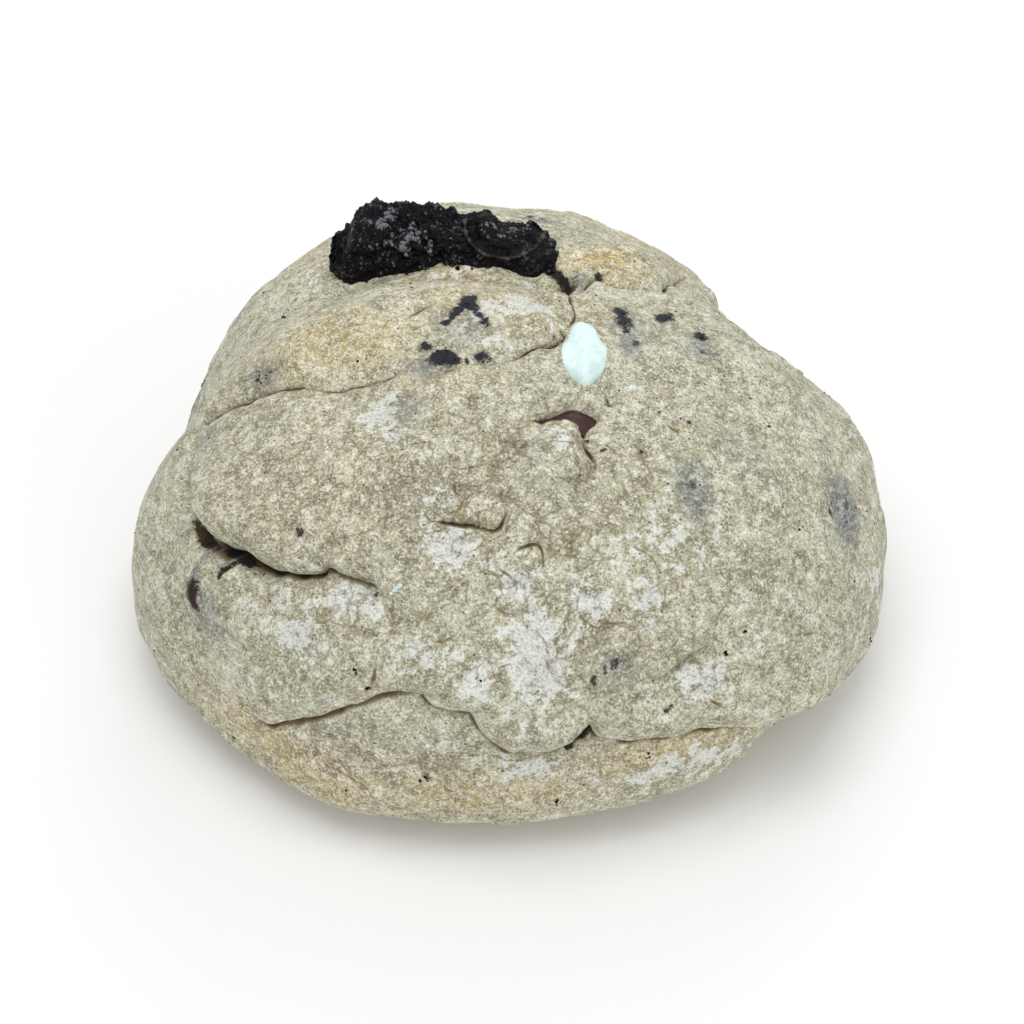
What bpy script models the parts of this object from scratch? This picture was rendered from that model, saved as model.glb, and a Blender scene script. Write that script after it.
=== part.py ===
"""Thick soft cookie of folded dough, with a broken chocolate wafer and chocolate chips baked into it.

Sizes are in millimetres here and in metres in the meshes. The cookie rests on the floor at
z = 0, its front faces -Y and +X is on the right of somebody who looks at the front.
"""
import math
from dataclasses import dataclass

import bmesh
import bpy
import numpy as np
from mathutils import Matrix, Vector

# The dough ball before folding
WIDTH = 94.2
DEPTH = 88.0
HEIGHT = 46.5
WAIST = 13.0                # height of the widest level
SUNK = 1.2                  # how far the round underside reaches below the floor that cuts it flat
PLAN_POWER = 2.15           # 2 is an ellipse seen from above, more is squarer
DOME_POWER = 2.25
FOOT_POWER = 3.2

# The plane that folds and lobes are drawn on: it faces a viewer in front of the cookie
VIEW_TILT = math.radians(47.0)
VIEW_DISTANCE = 400.0
VIEW_AIM = np.array([0.0, 0.0, 13.6])
SEARCH = 75.0               # half length of the ray that looks for the dough
SEARCH_STEPS = 1201

# Fineness
GRID = 110                  # squares along each side of the six faces of the starting ball
DOUGH_TRIANGLES = 8200
WAFER_GRID = 13
CHIP_SEGMENTS = 16
CHIP_RINGS = 8
FOLD_STEPS = 6              # pieces of curve between two drawn points of a fold
FOLD_TAPER = 2.0            # length over which a fold dies out at each end
LOBE_ROUNDNESS = 1.6        # a lobe's reach through the dough, in its wider half widths
SKIN = ((9.0, 0.9, 5), (4.0, 0.4, 9))       # size, depth and seed of the dough's uneven skin

GAP = 0.3                   # clearance between the dough and what is baked into it
MM = 0.001

RIGHT = np.array([1.0, 0.0, 0.0])
UP = np.array([0.0, math.sin(VIEW_TILT), math.cos(VIEW_TILT)])
BACK = np.array([0.0, -math.cos(VIEW_TILT), math.sin(VIEW_TILT)])
CENTRE = np.array([0.0, 0.0, WAIST])


@dataclass(frozen=True)
class Lobe:
    """A soft swelling or hollow: its place, half widths across and along, turn in degrees, rise."""

    place: tuple
    across: float
    along: float
    rise: float
    turn: float = 0.0
    drawn: bool = True      # place is drawn on the view plane, or else is azimuth and height in degrees


@dataclass(frozen=True)
class Fold:
    """A seam where one lap of dough lies over the next. Points are (right, up, strength)."""

    points: tuple
    depth: float
    width: float
    lip: float              # swelling of the upper lap
    lip_width: float
    under: float = 0.0      # how much the lower lap is drawn in
    slide: float = 0.0      # how far the upper lap hangs over the groove


@dataclass(frozen=True)
class Chip:
    """A chocolate chip: place, half sizes, how far its middle lies below the skin, colour."""

    name: str
    place: tuple
    half: tuple
    sunk: float
    material: str
    facing: float = 0.0     # 0 lies flat in the skin, 1 faces the viewer
    drawn: bool = True


LOBES = (
    Lobe((-112, 24), 18, 18, -4.4, drawn=False),        # left shoulder falls away
    Lobe((130, 26), 24, 20, -5.6, drawn=False),         # rear right shoulder falls away
    Lobe((112, 19), 13, 10, -2.0, drawn=False),
    Lobe((-120, 26), 10, 8, 2.0, drawn=False),
    Lobe((-101, 12), 8, 6, -4.8, drawn=False),          # waist between the brow and the left lap
    Lobe((-45, -12), 24, 13, 1.2, drawn=False),         # foot, front left
    Lobe((-27, -9), 8, 6, 0.6, drawn=False),
    Lobe((-8, -14), 22, 12, 1.5, drawn=False),          # foot, front
    Lobe((47, -8), 7, 6, -2.0, drawn=False),            # foot drawn in under the right lap
    Lobe((67, -3), 7, 6, 1.1, drawn=False),
    Lobe((80, 4), 16, 15, 0.8, drawn=False),            # right cheek
    Lobe((48, 6), 12, 10, 1.3, drawn=False),
    Lobe((-70, -4), 14, 12, 1.3, drawn=False),          # left cheek
    Lobe((-165, 42), 22, 18, 0.5, drawn=False),         # the dome rises at the back
    Lobe((-13.9, 24.0), 22, 7, 2.6, turn=6),            # brow lap in front of the wafer
    Lobe((-28.0, 20.8), 9, 6, 1.0, turn=20),
    Lobe((-28.0, 4.1), 13, 9, 1.8, turn=-12),           # middle lap, left
    Lobe((-11.3, 9.2), 14, 8, 0.6),
    Lobe((-31.2, -12.6), 8, 6, 1.2),                    # lump under the middle lap
    Lobe((-20.3, -15.1), 10, 7, 0.9),
    Lobe((4.0, -21.5), 7, 9, 1.8),                      # lump that droops over the foot
    Lobe((-8.8, -22.2), 4, 3, 0.8),
    Lobe((33.5, -11.3), 15, 15, 1.2),                   # broad right lap
    Lobe((14.3, 32.1), 6.5, 3.6, 2.0, turn=-8),         # browned bump beside the wafer
    Lobe((4.0, 15.0), 6, 4, 0.8),
    Lobe((-6.2, 15.0), 6, 4, 0.7, turn=10),
    Lobe((5.3, 7.9), 6, 4, 0.8),
    Lobe((-7.5, 32.1), 17, 3.4, -2.6, turn=2),          # trough that holds the wafer
    Lobe((-6.5, 30.0), 9, 1.8, 1.7, turn=2),            # the brow's crest hides the wafer's foot
    Lobe((-22.0, 28.8), 3.2, 2.2, -1.7),                # the crest falls away at both ends
    Lobe((5.8, 29.2), 2.6, 1.9, -2.1),
    Lobe((130, 24), 10, 9, -2.2, drawn=False),
    Lobe((140, -4), 14, 8, 1.2, drawn=False),           # rear laps
    Lobe((-150, 12), 16, 10, 1.4, drawn=False),
    Lobe((178, 18), 12, 7, -1.2, drawn=False),
)

FOLDS = {
    "brow_left": Fold(((-40, 11.4, 1.2), (-37, 12.8, 1.0), (-32, 15.2, 0.9), (-27, 16.2, 0.9),
                       (-22.5, 16, 0.7), (-18, 17.2, 0.7), (-13.5, 18.8, 0.4)),
                      1.2, 0.6, 0.9, 3.2, under=0.4, slide=0.4),
    "brow_right": Fold(((-12, 16.3, 0.5), (-8, 18.2, 0.8), (-4, 19.2, 0.6), (0, 19.2, 0.8),
                        (2.5, 20.5, 1.2), (5, 21.6, 1.7), (7.8, 23.4, 1.0)),
                       1.1, 0.6, 0.6, 2.5, slide=0.3),
    "front": Fold(((-40, 10.8, 0.15), (-41.2, 4.5, 0.4), (-40.5, 1, 0.9), (-39, -2.3, 1.2),
                   (-35, -5.5, 1.25), (-31, -7.5, 1.0), (-27, -8.3, 0.9), (-24, -7.3, 0.7),
                   (-21, -8.4, 0.7), (-16.6, -10.7, 0.7)),
                  3.0, 0.9, 1.5, 3.6, under=0.9, slide=0.8),
    "foot_left": Fold(((-34.2, -24, 0.5), (-31, -27.2, 1.0), (-27, -26.8, 0.9), (-22, -25, 0.8),
                       (-17, -23.5, 0.8), (-11, -23.2, 0.7), (-7, -25.2, 0.6), (-3, -29, 0.9),
                       (3, -31.2, 1.1), (7.4, -30, 1.6), (10.7, -27.2, 1.2)),
                      1.7, 0.7, 1.2, 3.0, under=0.5, slide=0.6),
    "foot_right": Fold(((10.2, -27.4, 1.2), (13.5, -29.2, 0.9), (19, -28.8, 0.9), (25, -27.8, 0.9),
                        (31, -27.2, 1.0), (35.2, -26, 1.3), (41, -24.2, 1.1), (44.5, -21.8, 0.9)),
                       1.5, 0.7, 1.2, 3.0, under=0.6, slide=0.6),
    "centre_crack": Fold(((2.2, 11.7, 0.6), (6.5, 12.8, 1.6), (8.5, 13.1, 1.8), (12, 12.2, 0.8)),
                         1.7, 0.8, 0.4, 2.0),
    "crack_tail": Fold(((8.7, 14.3, 0.8), (10, 10.6, 1.5), (9.8, 8.8, 1.0), (11.3, 6, 0.8)),
                       1.3, 0.7, 0.0, 2.0),
    "small_lip": Fold(((-13.4, -1, 0.6), (-9, -1.5, 1.0), (-3.5, -2.2, 1.1), (1.2, 0.1, 0.4)),
                      1.1, 0.6, 0.7, 2.4),
    "right_crease": Fold(((28.2, -7.2, 0.5), (26.9, -14, 0.9), (23, -19.5, 1.0), (20.2, -22, 0.6)),
                         1.0, 0.7, 0.0, 2.5, under=-0.6),
    "bump_foot": Fold(((8.8, 28.2, 0.9), (11.7, 29.9, 1.0), (15.6, 29, 0.8), (19.6, 28.5, 1.1),
                       (23.3, 31, 0.4)),
                      1.2, 0.6, 0.5, 2.2),
    "rear_ridge": Fold(((39, 15.4, 0.5), (35.2, 18.2, 1.1), (29.7, 23, 1.0), (24.8, 28.1, 0.5)),
                       1.4, 0.8, 0.7, 4.0, under=0.8, slide=0.4),
}

# Folds that can't be seen from the front, in degrees round the dough: (azimuth, height, strength)
REAR_FOLDS = {
    "rear_foot": Fold(((150, -6, 0.5), (165, -3, 1.0), (180, -7, 0.9), (-165, -4, 1.0),
                       (-148, -6, 0.8), (-132, -2, 0.5)),
                      1.5, 0.7, -1.1, 3.0, under=-0.5),
    "rear_lap": Fold(((118, 8, 0.5), (132, 14, 1.0), (148, 13, 1.0), (160, 19, 0.9), (172, 22, 0.4)),
                     1.4, 0.7, 0.9, 3.4, under=0.4),
}

WHITE = "white_chocolate"
MILK = "milk_chocolate"
CHIPS = (
    Chip("white_chip_front", (9.6, 20.1), (3.5, 4.5, 2.6), 1.9, WHITE, facing=0.5),
    Chip("milk_chunk_centre", (9.0, 12.4), (3.4, 2.4, 2.0), 2.6, MILK),
    Chip("milk_chip_left", (-38.2, -8.9), (3.2, 3.4, 2.2), 1.7, MILK),
    Chip("white_chip_side", (36.2, 19.6), (3.7, 2.8, 2.2), 1.6, WHITE),
    Chip("white_chip_rear", (160, 6), (4.2, 3.8, 2.6), 1.7, WHITE, drawn=False),
    Chip("milk_chip_rear", (-128, 10), (3.9, 3.6, 2.4), 1.6, MILK, drawn=False),
)

# The broken wafer that stands in the trough behind the brow lap
WAFER_CENTRE = np.array([-8.0, 18.6, 41.6])
WAFER_HALF = np.array([14.9, 5.4, 5.0])
WAFER_POWER = 3.6           # 2 is round, more is boxier
WAFER_YAW = math.radians(-2.0)
WAFER_DROP = 0.075          # slope of its broken top, down to the right
# Knobs on its top: place and half width along the wafer, and height
WAFER_KNOBS = ((-14.2, 2.0, -2.4), (-8.0, 4.0, 1.5), (-1.0, 2.0, 0.4), (4.8, 1.4, 0.9))
WAFER_CRUMBS = ((7.0, 1.6), (3.2, 0.9))     # size and depth of the bites out of its broken faces

WAFER_BURIED = 0.2          # share of those bites that the buried half has

COLOURS = {
    "baked_dough": ((0.47, 0.43, 0.31), 0.85),
    "chocolate_wafer": ((0.014, 0.012, 0.014), 0.7),
    WHITE: ((0.84, 0.82, 0.72), 0.4),
    MILK: ((0.085, 0.027, 0.014), 0.35),
}


def unit(v):
    """The vectors v scaled to length one."""
    return v / np.linalg.norm(v, axis=-1, keepdims=True)


def around(azimuth, height):
    """The direction at an azimuth (0 in front, 90 on the right) and a height above the waist."""
    a, h = math.radians(azimuth), math.radians(height)
    return np.array([math.sin(a) * math.cos(h), -math.cos(a) * math.cos(h), math.sin(h)])


def ball_radius(d):
    """Distance from the waist's centre to a squarish dome above and a flatter foot below."""
    plan = (np.abs(d[:, 0]) * 2 / WIDTH) ** PLAN_POWER + (np.abs(d[:, 1]) * 2 / DEPTH) ** PLAN_POWER
    above = d[:, 2] > 0
    reach = np.where(above, HEIGHT - WAIST, WAIST + SUNK)
    power = np.where(above, DOME_POWER, FOOT_POWER)
    return (plan ** (power / PLAN_POWER) + (np.abs(d[:, 2]) / reach) ** power) ** (-1.0 / power)


def surface_axes(d):
    """Two directions along the dough at direction d: the view plane's right and up, turned onto it."""
    half = BACK + d
    k = 1.0 + d @ BACK
    return RIGHT - half * ((RIGHT @ d) / k), UP - half * ((UP @ d) / k)


class Dough:
    """The dough's outer surface as a distance from the middle of its waist."""

    def __init__(self):
        self.lobes = []

    def radius(self, d):
        """Distance to the lobed surface along each direction in d."""
        ball = ball_radius(d)
        points = CENTRE + d * ball[:, None]
        total = ball
        for place, lobe in self.lobes:
            total = total + self.rise(points, place, lobe)
        return total

    def rise(self, points, place, lobe):
        """A bell of the lobe's two half widths, around its place on the ball."""
        middle = CENTRE + place * ball_radius(place[None])
        right, up = surface_axes(place)
        turn = math.radians(lobe.turn)
        a = right * math.cos(turn) + up * math.sin(turn)
        b = up * math.cos(turn) - right * math.sin(turn)
        r = points - middle
        thick = LOBE_ROUNDNESS * max(lobe.across, lobe.along)
        q = ((r @ a) / lobe.across) ** 2 + ((r @ b) / lobe.along) ** 2 + ((r @ place) / thick) ** 2
        return lobe.rise * np.exp(-q)

    def seen(self, right, up):
        """The direction of the dough point that the viewer sees at (right, up) on the view plane."""
        eye = VIEW_AIM + BACK * VIEW_DISTANCE
        ray = unit(VIEW_AIM + RIGHT * right + UP * up - eye)
        steps = np.linspace(VIEW_DISTANCE - SEARCH, VIEW_DISTANCE + SEARCH, SEARCH_STEPS)
        q = eye + ray * steps[:, None] - CENTRE
        length = np.linalg.norm(q, axis=1)
        outside = length - self.radius(q / length[:, None])
        inside = np.nonzero(outside < 0)[0]
        if len(inside) == 0:
            return unit(q[np.argmin(outside)])
        k = inside[0]
        w = outside[k - 1] / (outside[k - 1] - outside[k])
        return unit(q[k - 1] * (1 - w) + q[k] * w)

    def place(self, spot, drawn):
        """The direction of a spot, drawn on the view plane or given in degrees."""
        return self.seen(*spot) if drawn else around(*spot)

    def add_lobe(self, lobe):
        """Raise or hollow the surface by one lobe."""
        self.lobes.append((self.place(lobe.place, lobe.drawn), lobe))

    def point(self, d):
        """The surface points along the directions d."""
        return CENTRE + d * self.radius(d)[:, None]

    def normal(self, d):
        """The outward normal at one direction, from two short steps along the surface."""
        a, b = surface_axes(d)
        step = 0.02
        corners = self.point(unit(np.array([d + a * step, d - a * step, d + b * step, d - b * step])))
        n = unit(np.cross(corners[0] - corners[1], corners[2] - corners[3]))
        return n if n @ d > 0 else -n


def smooth_line(points):
    """A Catmull-Rom curve through the points, FOLD_STEPS pieces between two of them."""
    p = np.vstack([2 * points[0] - points[1], points, 2 * points[-1] - points[-2]])
    t = np.linspace(0, 1, FOLD_STEPS, endpoint=False)[:, None]
    runs = []
    for a, b, c, d in zip(p[:-3], p[1:-2], p[2:-1], p[3:]):
        runs.append(0.5 * (2 * b + (c - a) * t + (2 * a - 5 * b + 4 * c - d) * t ** 2
                           + (3 * b - 3 * c + d - a) * t ** 3))
    return np.vstack(runs + [points[-1:]])


def fold_line(dough, fold, drawn):
    """The fold's curve on the dough and its strength at each point, which dies out at the ends."""
    spots = np.array([dough.place((a, b), drawn) for a, b, _ in fold.points])
    strength = np.array([[s] for _, _, s in fold.points])
    line = smooth_line(np.hstack([dough.point(spots), strength]))
    curve = dough.point(unit(line[:, :3] - CENTRE))
    along = np.concatenate([[0], np.cumsum(np.linalg.norm(np.diff(curve, axis=0), axis=1))])
    taper = np.clip(np.minimum(along, along[-1] - along) / FOLD_TAPER, 0, 1) ** 0.7
    return curve, np.clip(line[:, 3], 0, None) * taper


def pressed_fold(dough, fold, drawn, points, d):
    """How a fold moves points of the dough: outward distances and sideways steps.

    Across the fold the groove is a narrow V, the upper lap swells beside it and slides over it.
    """
    curve, strength = fold_line(dough, fold, drawn)
    start, run = curve[:-1], np.diff(curve, axis=0)
    reach = 4 * max(fold.width, fold.lip_width)
    near = np.zeros(len(points), bool)
    for c in curve[::3]:
        near |= ((points - c) ** 2).sum(1) < (reach + 3) ** 2
    q, n = points[near], d[near]
    t = np.stack([(q - s) @ r / (r @ r) for s, r in zip(start, run)])
    t = np.clip(t, 0, 1)
    gaps = np.stack([((q - s - ti[:, None] * r) ** 2).sum(1) for s, r, ti in zip(start, run, t)])
    k = np.argmin(gaps, axis=0)
    pick = np.arange(len(q))
    tk = t[k, pick]
    foot = start[k] + tk[:, None] * run[k]
    over = unit(np.cross(n, unit(run)[k]))
    w = strength[k] * (1 - tk) + strength[k + 1] * tk
    dist = np.sqrt(gaps[k, pick])
    side = np.where(((q - foot) * over).sum(1) < 0, -1.0, 1.0)
    groove = 0.55 * np.exp(-dist / fold.width) + 0.45 * np.exp(-(dist / (2.2 * fold.width)) ** 2)
    x = np.where(side > 0, dist, 0) / fold.lip_width
    rise = -fold.depth * groove + fold.lip * x * np.exp((1 - x * x) / 2)
    rise -= np.where(side < 0, fold.under * np.exp(-(dist / (1.8 * fold.lip_width)) ** 2), 0)
    bell = np.where(side > 0, np.exp(-((dist - 1.1 * fold.width) / (1.2 * fold.width)) ** 2), 0)
    outward = np.zeros(len(points))
    sideways = np.zeros((len(points), 3))
    outward[near] = w * rise
    sideways[near] = -over * (fold.slide * w * bell)[:, None]
    return outward, sideways


def ball_grid(n):
    """Directions and squares of a cube's six faces, each n by n, blown up to a ball."""
    g = np.tan(np.linspace(-math.pi / 4, math.pi / 4, n + 1))
    a, b = np.meshgrid(g, g, indexing="ij")
    one = np.ones_like(a)
    faces = ((a, b, one), (b, a, -one), (one, a, b), (-one, b, a), (b, one, a), (a, -one, b))
    points = np.vstack([np.stack(f, -1).reshape(-1, 3) for f in faces])
    index = np.arange((n + 1) ** 2).reshape(n + 1, n + 1)
    square = np.stack([index[:-1, :-1], index[1:, :-1], index[1:, 1:], index[:-1, 1:]], -1)
    squares = np.vstack([square.reshape(-1, 4) + k * (n + 1) ** 2 for k in range(6)])
    _, first, same = np.unique(np.round(points, 6), axis=0, return_index=True, return_inverse=True)
    return unit(points[first]), same.reshape(-1)[squares]


def hashed(cell, seed):
    """A repeatable number from 0 to 1 for each whole-numbered cell."""
    mix = (cell[:, 0] * 374761393 + cell[:, 1] * 668265263 + cell[:, 2] * 1274126177
           + seed * 1442695041) & 0xFFFFFFFF
    mix = ((mix ^ (mix >> 13)) * 1103515245) & 0xFFFFFFFF
    return ((mix ^ (mix >> 16)) & 0xFFFF) / 0xFFFF


def bumps(points, size, seed):
    """Smooth noise from 0 to 1 whose bumps are about size mm across."""
    q = points / size
    cell = np.floor(q).astype(np.int64)
    f = q - cell
    f = f * f * (3 - 2 * f)
    total = np.zeros(len(points))
    for corner in np.ndindex(2, 2, 2):
        weight = np.where(corner, f, 1 - f).prod(1)
        total += weight * hashed(cell + np.array(corner), seed)
    return total


def make_mesh(name, points, faces):
    """A smooth shaded mesh object from points in mm."""
    mesh = bpy.data.meshes.new(name)
    mesh.from_pydata((points * MM).tolist(), [], faces.tolist())
    mesh.shade_smooth()
    return bpy.data.objects.new(name, mesh)


def make_material(name):
    """One plain finish, by its name in COLOURS."""
    colour, roughness = COLOURS[name]
    material = bpy.data.materials.new(name)
    material.use_nodes = True
    shader = material.node_tree.nodes["Principled BSDF"]
    shader.inputs["Base Color"].default_value = (*colour, 1.0)
    shader.inputs["Roughness"].default_value = roughness
    return material


def lobed_dough():
    """The dough with every lobe on it."""
    dough = Dough()
    for lobe in LOBES:
        dough.add_lobe(lobe)
    return dough


def dough_points(dough, directions):
    """The folded surface: lobes first, then every fold pressed into it, then its uneven skin."""
    points = dough.point(directions)
    outward = sum(deep * (bumps(points, size, seed) - 0.5) for size, deep, seed in SKIN)
    sideways = np.zeros_like(points)
    for folds, drawn in ((FOLDS, True), (REAR_FOLDS, False)):
        for fold in folds.values():
            out, side = pressed_fold(dough, fold, drawn, points, directions)
            outward += out
            sideways += side
    return points + directions * outward[:, None] + sideways


def make_dough(points, squares, cutters):
    """The dough: thinned to its triangle budget, cut flat by the floor and by what is baked into it."""
    dough = make_mesh("cookie_dough", points, squares)
    thin = dough.modifiers.new("thin", "DECIMATE")
    thin.ratio = DOUGH_TRIANGLES / (2.0 * len(squares))
    cut = dough.modifiers.new("pockets", "BOOLEAN")
    cut.operation = "DIFFERENCE"
    cut.operand_type = "COLLECTION"
    cut.collection = cutters
    cut.solver = "EXACT"
    return dough


def wafer_hull(d, grown):
    """A boxy slab with a knobbly sloping top, grown mm bigger all round, and its outward directions."""
    half = WAFER_HALF + grown
    reach = ((np.abs(d / half) ** WAFER_POWER).sum(1)) ** (-1.0 / WAFER_POWER)
    p = d * reach[:, None]
    out = unit(np.sign(p) * np.abs(p / half) ** (WAFER_POWER - 1) / half)
    upper = np.clip(p[:, 2] / half[2], 0, 1)
    top = -WAFER_DROP * p[:, 0]
    for middle, spread, height in WAFER_KNOBS:
        top += height * np.exp(-((p[:, 0] - middle) / spread) ** 2)
    p[:, 2] += top * upper
    turn = np.array([[math.cos(WAFER_YAW), math.sin(WAFER_YAW), 0.0],
                     [-math.sin(WAFER_YAW), math.cos(WAFER_YAW), 0.0],
                     [0.0, 0.0, 1.0]])
    return p @ turn + WAFER_CENTRE, out @ turn


def make_wafer(shift):
    """The broken wafer: its hull with crumbly bites taken out of it."""
    d, squares = ball_grid(WAFER_GRID)
    points, out = wafer_hull(d, 0.0)
    shown = WAFER_BURIED + (1 - WAFER_BURIED) * np.clip(0.5 + d[:, 2] * 1.5, 0, 1)
    for k, (size, depth) in enumerate(WAFER_CRUMBS):
        points -= out * (depth * shown * bumps(points, size, 30 + k))[:, None]
    return make_mesh("wafer_piece", points + shift, squares)


def chip_matrix(dough, chip, shift, grown):
    """Places a unit ball as a chip: half sizes along the skin and a short axis out of it."""
    d = dough.place(chip.place, chip.drawn)
    out = unit(dough.normal(d) * (1 - chip.facing) + BACK * chip.facing)
    right = unit(RIGHT - out * (RIGHT @ out)) if abs(out[0]) < 0.9 else unit(UP - out * (UP @ out))
    up = np.cross(out, right)
    middle = dough.point(d[None])[0] - out * chip.sunk + shift
    half = np.array(chip.half) + grown
    axes = np.stack([right * half[0], up * half[1], out * half[2]], axis=1) * MM
    matrix = Matrix(axes.tolist()).to_4x4()
    matrix.translation = Vector((middle * MM).tolist())
    return matrix


def make_chip(name, matrix):
    """A ball pressed into a chip by its matrix."""
    form = bmesh.new()
    bmesh.ops.create_uvsphere(form, u_segments=CHIP_SEGMENTS, v_segments=CHIP_RINGS, radius=1.0)
    bmesh.ops.transform(form, matrix=matrix, verts=form.verts)
    mesh = bpy.data.meshes.new(name)
    form.to_mesh(mesh)
    form.free()
    mesh.shade_smooth()
    return bpy.data.objects.new(name, mesh)


def make_floor_cutter():
    """A block whose top is the floor, which cuts the underside flat."""
    form = bmesh.new()
    deep = 20 * MM
    bmesh.ops.create_cube(form, size=1.0)
    bmesh.ops.scale(form, vec=(2 * WIDTH * MM, 2 * DEPTH * MM, deep), verts=form.verts)
    bmesh.ops.translate(form, vec=(0, 0, -deep / 2), verts=form.verts)
    mesh = bpy.data.meshes.new("floor_cutter")
    form.to_mesh(mesh)
    form.free()
    return bpy.data.objects.new("floor_cutter", mesh)


def add_cutter(cutters, cutter):
    """Keep a cutter out of the render and show it as wire."""
    cutter.hide_render = True
    cutter.display_type = "WIRE"
    cutters.objects.link(cutter)


def main():
    """Builds the cookie from its dough, wafer and chips."""
    for old in list(bpy.data.objects):
        bpy.data.objects.remove(old)
    scene = bpy.context.scene
    cookie = bpy.data.collections.new("cookies_and_cream_cookie")
    cutters = bpy.data.collections.new("cutters")
    scene.collection.children.link(cookie)
    scene.collection.children.link(cutters)
    materials = {name: make_material(name) for name in COLOURS}

    dough = lobed_dough()
    directions, squares = ball_grid(GRID)
    points = dough_points(dough, directions)
    # The origin is under the middle of the cookie
    shift = -0.5 * (points.max(0) + points.min(0)) * np.array([1.0, 1.0, 0.0])

    add_cutter(cutters, make_floor_cutter())
    d, wafer_squares = ball_grid(WAFER_GRID)
    add_cutter(cutters, make_mesh("wafer_cutter", wafer_hull(d, GAP)[0] + shift, wafer_squares))
    pieces = [(make_wafer(shift), "chocolate_wafer")]
    for chip in CHIPS:
        add_cutter(cutters, make_chip(chip.name + "_cutter", chip_matrix(dough, chip, shift, GAP)))
        pieces.append((make_chip(chip.name, chip_matrix(dough, chip, shift, 0.0)), chip.material))
    pieces.append((make_dough(points + shift, squares, cutters), "baked_dough"))
    for piece, material in pieces:
        piece.data.materials.append(materials[material])
        cookie.objects.link(piece)


main()
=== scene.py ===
"""Looks of a thick soft cookie: folded sandy dough, a broken chocolate wafer, chips and crumbs.

Shapes are worked out in millimetres and put into meshes in metres, in the frame's axes: +Z up,
-Y the front, +X on the right of somebody who looks at the front. Folds, lobes and stains are
placed on a view plane that faces the front from above, as (right, up) in millimetres, or as
(azimuth, height) in degrees where the front doesn't show them.
"""
import logging
import math
from dataclasses import dataclass
from enum import Enum, IntEnum

import bpy
import numpy as np
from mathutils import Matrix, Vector
from mathutils.bvhtree import BVHTree


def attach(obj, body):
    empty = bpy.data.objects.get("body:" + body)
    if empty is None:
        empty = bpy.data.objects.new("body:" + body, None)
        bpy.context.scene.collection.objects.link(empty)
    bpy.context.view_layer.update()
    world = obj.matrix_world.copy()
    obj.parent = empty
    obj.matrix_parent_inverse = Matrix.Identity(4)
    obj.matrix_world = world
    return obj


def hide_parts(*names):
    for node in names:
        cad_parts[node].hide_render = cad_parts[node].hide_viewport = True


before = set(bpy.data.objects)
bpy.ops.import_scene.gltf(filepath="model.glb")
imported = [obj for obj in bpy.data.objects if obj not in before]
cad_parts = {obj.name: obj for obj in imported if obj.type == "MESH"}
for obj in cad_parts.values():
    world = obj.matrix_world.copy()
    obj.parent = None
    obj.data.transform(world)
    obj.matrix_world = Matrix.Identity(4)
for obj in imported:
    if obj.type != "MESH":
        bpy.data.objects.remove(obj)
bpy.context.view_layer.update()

LOG = logging.getLogger("cookie")
MM = 0.001
BODY = "root"
DEGREES_PER_MM = 1.3        # along the waist

# The view plane and the camera in front of it
VIEW_TILT = math.radians(47.0)
VIEW_DISTANCE = 400.0
VIEW_AIM = np.array([0.0, 0.0, 13.6])
VIEW_WIDTH = 131.3          # what the picture's width covers at the aim, mm
VIEW_SIDESTEP = 0.45        # the cookie sits this far left of the picture's middle, mm
RIGHT = np.array([1.0, 0.0, 0.0])
UP = np.array([0.0, math.sin(VIEW_TILT), math.cos(VIEW_TILT)])
BACK = np.array([0.0, -math.cos(VIEW_TILT), math.sin(VIEW_TILT)])

# Each octave of noise is turned so that the lattices never line up
OCTAVE_TURN = np.array([[0.36, 0.48, -0.8], [-0.8, 0.60, 0.0], [0.48, 0.64, 0.6]])

Place = tuple[float, float]
Points = np.ndarray
Socket = bpy.types.NodeSocket
Feed = bpy.types.NodeSocket | float | tuple     # what an input takes: a link or its own value


class Seed(IntEnum):
    """Which random numbers each use draws."""

    GRAIN_PLACES = 7
    GRAIN_SIZES = 8
    GRAIN_SHAPES = 9
    CRUMB_SIZES = 12
    STRAY_PLACES = 14
    CRUMB_SHAPES = 15
    FLECK_SHAPES = 16
    SMALL_RELIEF = 20
    TINY_RELIEF = 26
    BITES = 30
    PLATES = 40
    BROKEN = 45
    WRINKLE = 47
    SHAKE = 50
    FINE_SHAKE = 60
    CHIP = 70
    LINE = 80
    PITS = 90


def unit(v: Points) -> Points:
    """Scales vectors to length one."""
    return v / np.linalg.norm(v, axis=-1, keepdims=True)


def smooth(low: float, high: float, x: Points) -> Points:
    """Rises from 0 at low to 1 at high with level ends: 3t^2 - 2t^3."""
    t = np.clip((x - low) / (high - low), 0.0, 1.0)
    return t * t * (3.0 - 2.0 * t)


def around(azimuth: float, height: float) -> Points:
    """The direction at an azimuth (0 in front, 90 on the right) and a height, in degrees."""
    a, h = math.radians(azimuth), math.radians(height)
    return np.array([math.sin(a) * math.cos(h), -math.cos(a) * math.cos(h), math.sin(h)])


def hashed(cell: Points, seed: int) -> Points:
    """A repeatable number from 0 to 1 for each whole-numbered cell."""
    mix = (cell[:, 0] * 374761393 + cell[:, 1] * 668265263 + cell[:, 2] * 1274126177
           + seed * 1442695041) & 0xFFFFFFFF
    mix = ((mix ^ (mix >> 13)) * 1103515245) & 0xFFFFFFFF
    return ((mix ^ (mix >> 16)) & 0xFFFF) / 0xFFFF


def bumps(points: Points, size: float, seed: int) -> Points:
    """Smooth noise from 0 to 1: hashed corners of a lattice of size mm, blended across each cell."""
    q = points / size
    cell = np.floor(q).astype(np.int64)
    f = q - cell
    f = f * f * (3 - 2 * f)
    total = np.zeros(len(points))
    for corner in np.ndindex(2, 2, 2):
        weight = np.where(corner, f, 1 - f).prod(1)
        total += weight * hashed(cell + np.array(corner), seed)
    return total


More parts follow.
